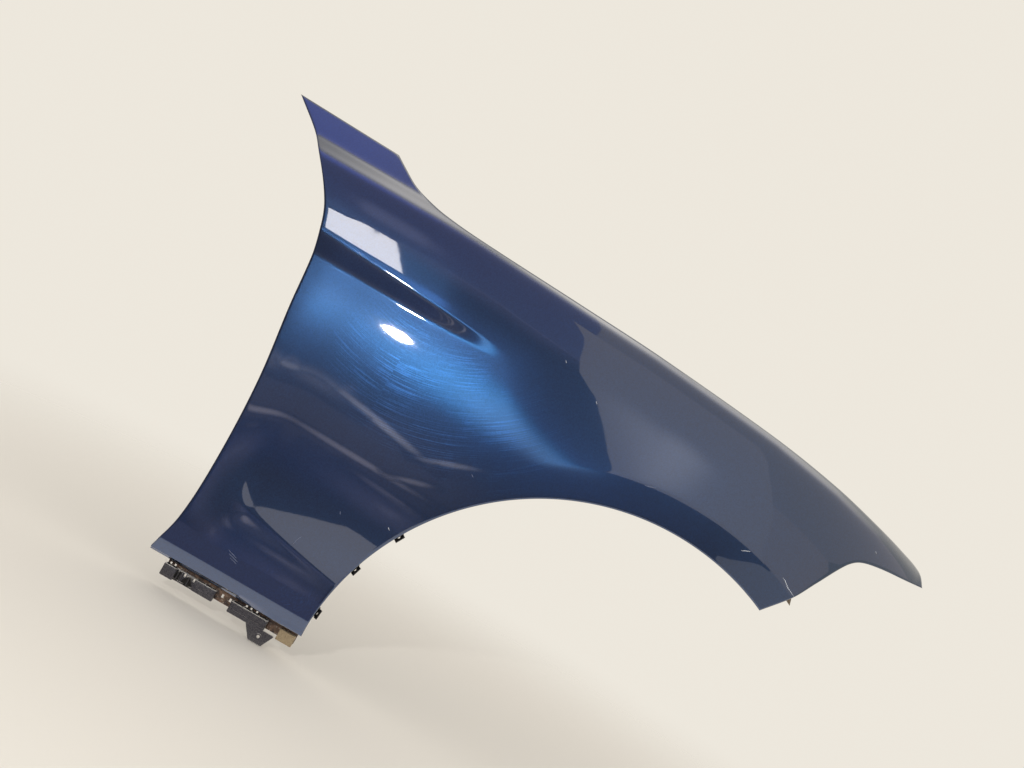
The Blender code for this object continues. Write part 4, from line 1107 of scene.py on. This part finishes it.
class FENDER_OT_fixings(bpy.types.Operator):
    """Finishes the arch clip nuts and the bumper bracket"""
    bl_idname = "fender.fixings"
    bl_label = "Clip nuts and bracket"

    def execute(self, context):
        colours = context.scene.fender_colours
        zinc = soiled("dark_zinc_plate", colours.zinc, colours.dust, 0.5, 0.4, 0.10)
        steel = soiled("primed_steel", colours.bracket, colours.dust, 0.6, 0.1, 0.4)
        for node, material in (("arch_clip_nut_1", zinc), ("arch_clip_nut_2", zinc), ("arch_clip_nut_3", zinc),
                               ("bumper_bracket", steel)):
            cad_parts[node].data.materials.clear()
            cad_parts[node].data.materials.append(material)
        return {"FINISHED"}


class FENDER_OT_studio(bpy.types.Operator):
    """Sets up the pale floor, the hand lamp, the cards that mirrors see and the camera"""
    bl_idname = "fender.studio"
    bl_label = "Studio"

    def execute(self, context):
        sizes = context.scene.fender_studio
        self.world(sizes)
        self.floor(sizes)
        for name, (corners, colour, strength) in CARDS.items():
            self.card(name, corners, colour, strength)
        for name, (centre, half, turn, colour, strength) in GLOWS.items():
            self.glow(name, centre, half, turn, colour, strength)
        for name, (place, aim, width, height, power) in LAMPS.items():
            self.lamp(name, place, aim, width, height, power)
        self.camera(sizes)
        return {"FINISHED"}

    def world(self, sizes):
        """Cream behind the part for the lens and for mirrors, softer light on matt surfaces."""
        world = bpy.data.worlds.new("pale_studio")
        bpy.context.scene.world = world
        world.use_nodes = True
        tree = world.node_tree
        path = add(tree, "LightPath")
        seen = add(tree, "Math", {0: path.outputs["Is Camera Ray"], 1: path.outputs["Is Glossy Ray"]},
                   operation="MAXIMUM")
        seen = add(tree, "Math", {0: seen.outputs[0], 1: path.outputs["Is Transmission Ray"]},
                   operation="MAXIMUM")
        colour = add(tree, "Mix", {0: seen.outputs[0], 6: SOFT_LIGHT, 7: (*sizes.backdrop, 1.0)},
                     data_type="RGBA")
        tree.links.new(colour.outputs[2], tree.nodes["Background"].inputs["Color"])
        tree.nodes["Background"].inputs["Strength"].default_value = 1.0

    def floor(self, sizes):
        """A wide pale floor that melts into the world away from the part."""
        deselect()
        low = CAD_BOX[0][2]
        bpy.ops.mesh.primitive_plane_add(size=FLOOR_SIZE, location=(0.2, 0.0, low - FLOOR_GAP))
        floor = bpy.context.object
        floor.name = "studio_floor"
        made, tree, shader = blank("floor_card")
        place = add(tree, "TexCoord").outputs["Object"]
        distance = add(tree, "VectorMath", {0: place}, operation="LENGTH")
        near = add(tree, "MapRange", {"Value": distance.outputs["Value"], "From Min": FLOOR_FADE[0],
                                   "From Max": FLOOR_FADE[1]}, interpolation_type="SMOOTHSTEP")
        shader.inputs["Base Color"].default_value = (*sizes.backdrop, 1.0)
        shader.inputs["Roughness"].default_value = 0.9
        shader.inputs["Specular IOR Level"].default_value = 0.0
        clear = add(tree, "BsdfTransparent")
        mixed = add(tree, "MixShader", {0: near.outputs["Result"], 1: shader.outputs[0], 2: clear.outputs[0]})
        tree.links.new(mixed.outputs[0], tree.nodes["Material Output"].inputs["Surface"])
        floor.data.materials.append(made)
        floor.visible_glossy = False

    def card(self, name, corners, colour, strength):
        """A flat card that only mirrors see."""
        deselect()
        bpy.ops.mesh.primitive_circle_add(vertices=len(corners), radius=1.0, fill_type="NGON")
        card = bpy.context.object
        card.name = name
        for vertex, corner in zip(card.data.vertices, corners):
            vertex.co = Vector(corner)
        made, tree = blank(name)[:2]
        light = add(tree, "Emission", {"Color": linear(colour), "Strength": strength})
        tree.links.new(light.outputs[0], tree.nodes["Material Output"].inputs["Surface"])
        self.hung(card, made)

    def glow(self, name, centre, half, turn, colour, strength):
        """A glow that fades out to its rim and lets what is behind it through."""
        deselect()
        bpy.ops.mesh.primitive_plane_add(size=2.0, location=centre, rotation=[math.radians(a) for a in turn])
        card = bpy.context.object
        card.name = name
        card.scale = (half[0], half[1], 1.0)
        made, tree = blank(name)[:2]
        place = add(tree, "TexCoord").outputs["Object"]
        distance = add(tree, "VectorMath", {0: place}, operation="LENGTH")
        near = add(tree, "MapRange", {"Value": distance.outputs["Value"], "From Min": 1.0, "From Max": 0.0},
                   interpolation_type="SMOOTHERSTEP")
        power = add(tree, "Math", {0: near.outputs[0], 1: strength}, operation="MULTIPLY")
        light = add(tree, "Emission", {"Color": linear(colour), "Strength": power.outputs[0]})
        clear = add(tree, "BsdfTransparent")
        both = add(tree, "AddShader", {0: light.outputs[0], 1: clear.outputs[0]})
        tree.links.new(both.outputs[0], tree.nodes["Material Output"].inputs["Surface"])
        self.hung(card, made)

    def hung(self, card, made):
        """Keeps a card out of everything but mirrors."""
        card.data.materials.append(made)
        card.visible_camera = False
        card.visible_diffuse = False
        card.visible_shadow = False
        card.visible_transmission = False

    def lamp(self, name, place, aim, width, height, power):
        """An oval lamp that looks at a place."""
        deselect()
        bpy.ops.object.light_add(type="AREA", location=place)
        lamp = bpy.context.object
        lamp.name = name
        lamp.data.shape = "ELLIPSE"
        lamp.data.size = width
        lamp.data.size_y = height
        lamp.data.energy = power
        lamp.rotation_euler = (Vector(aim) - Vector(place)).to_track_quat("-Z", "Y").to_euler()

    def camera(self, sizes):
        """The photograph's viewpoint, rolled about its line of sight."""
        deselect()
        bpy.ops.object.camera_add()
        camera = bpy.context.object
        camera.name = "photo_camera"
        turn = sizes.camera_roll
        right = Vector((math.cos(turn), 0.0, math.sin(turn)))
        up = Vector((-math.sin(turn), 0.0, math.cos(turn)))
        back = Vector((0.0, -1.0, 0.0))
        frame_turn = Matrix((right, up, back)).transposed().to_4x4()
        place = row_place(sizes.camera_x, -sizes.camera_distance, sizes.camera_z)
        camera.matrix_world = Matrix.Translation(place) @ frame_turn
        camera.data.lens = sizes.lens
        camera.data.sensor_width = 36.0
        camera.data.sensor_fit = "HORIZONTAL"
        bpy.context.scene.camera = camera
        bpy.context.scene.view_settings.view_transform = "Standard"


class FENDER_PT_sidebar(bpy.types.Panel):
    """Lists the fender's pieces, sizes and colours"""
    bl_idname = "FENDER_PT_sidebar"
    bl_label = "Fender"
    bl_space_type = "VIEW_3D"
    bl_region_type = "UI"
    bl_category = "Fender"

    def draw(self, context):
        layout = self.layout
        for operator in OPERATORS:
            layout.operator(operator.bl_idname)
        scene = context.scene
        for group in (scene.fender_skin_sizes, scene.fender_colours, scene.fender_studio):
            box = layout.box()
            for name in group.bl_rna.properties.keys():
                if name not in ("rna_type", "name"):
                    box.prop(group, name)


OPERATORS = (FENDER_OT_skin, FENDER_OT_damage, FENDER_OT_holders, FENDER_OT_fixings, FENDER_OT_studio)
CLASSES = (SkinSizes, FinishColours, StudioSizes) + OPERATORS + (FENDER_PT_sidebar,)


def register():
    for entry in CLASSES:
        bpy.utils.register_class(entry)
    bpy.types.Scene.fender_skin_sizes = PointerProperty(type=SkinSizes)
    bpy.types.Scene.fender_colours = PointerProperty(type=FinishColours)
    bpy.types.Scene.fender_studio = PointerProperty(type=StudioSizes)


def unregister():
    del bpy.types.Scene.fender_studio
    del bpy.types.Scene.fender_colours
    del bpy.types.Scene.fender_skin_sizes
    for entry in reversed(CLASSES):
        bpy.utils.unregister_class(entry)


def main():
    register()
    bpy.ops.fender.skin()
    bpy.ops.fender.damage()
    bpy.ops.fender.holders()
    bpy.ops.fender.fixings()
    bpy.ops.fender.studio()


if __name__ == "__main__":
    main()
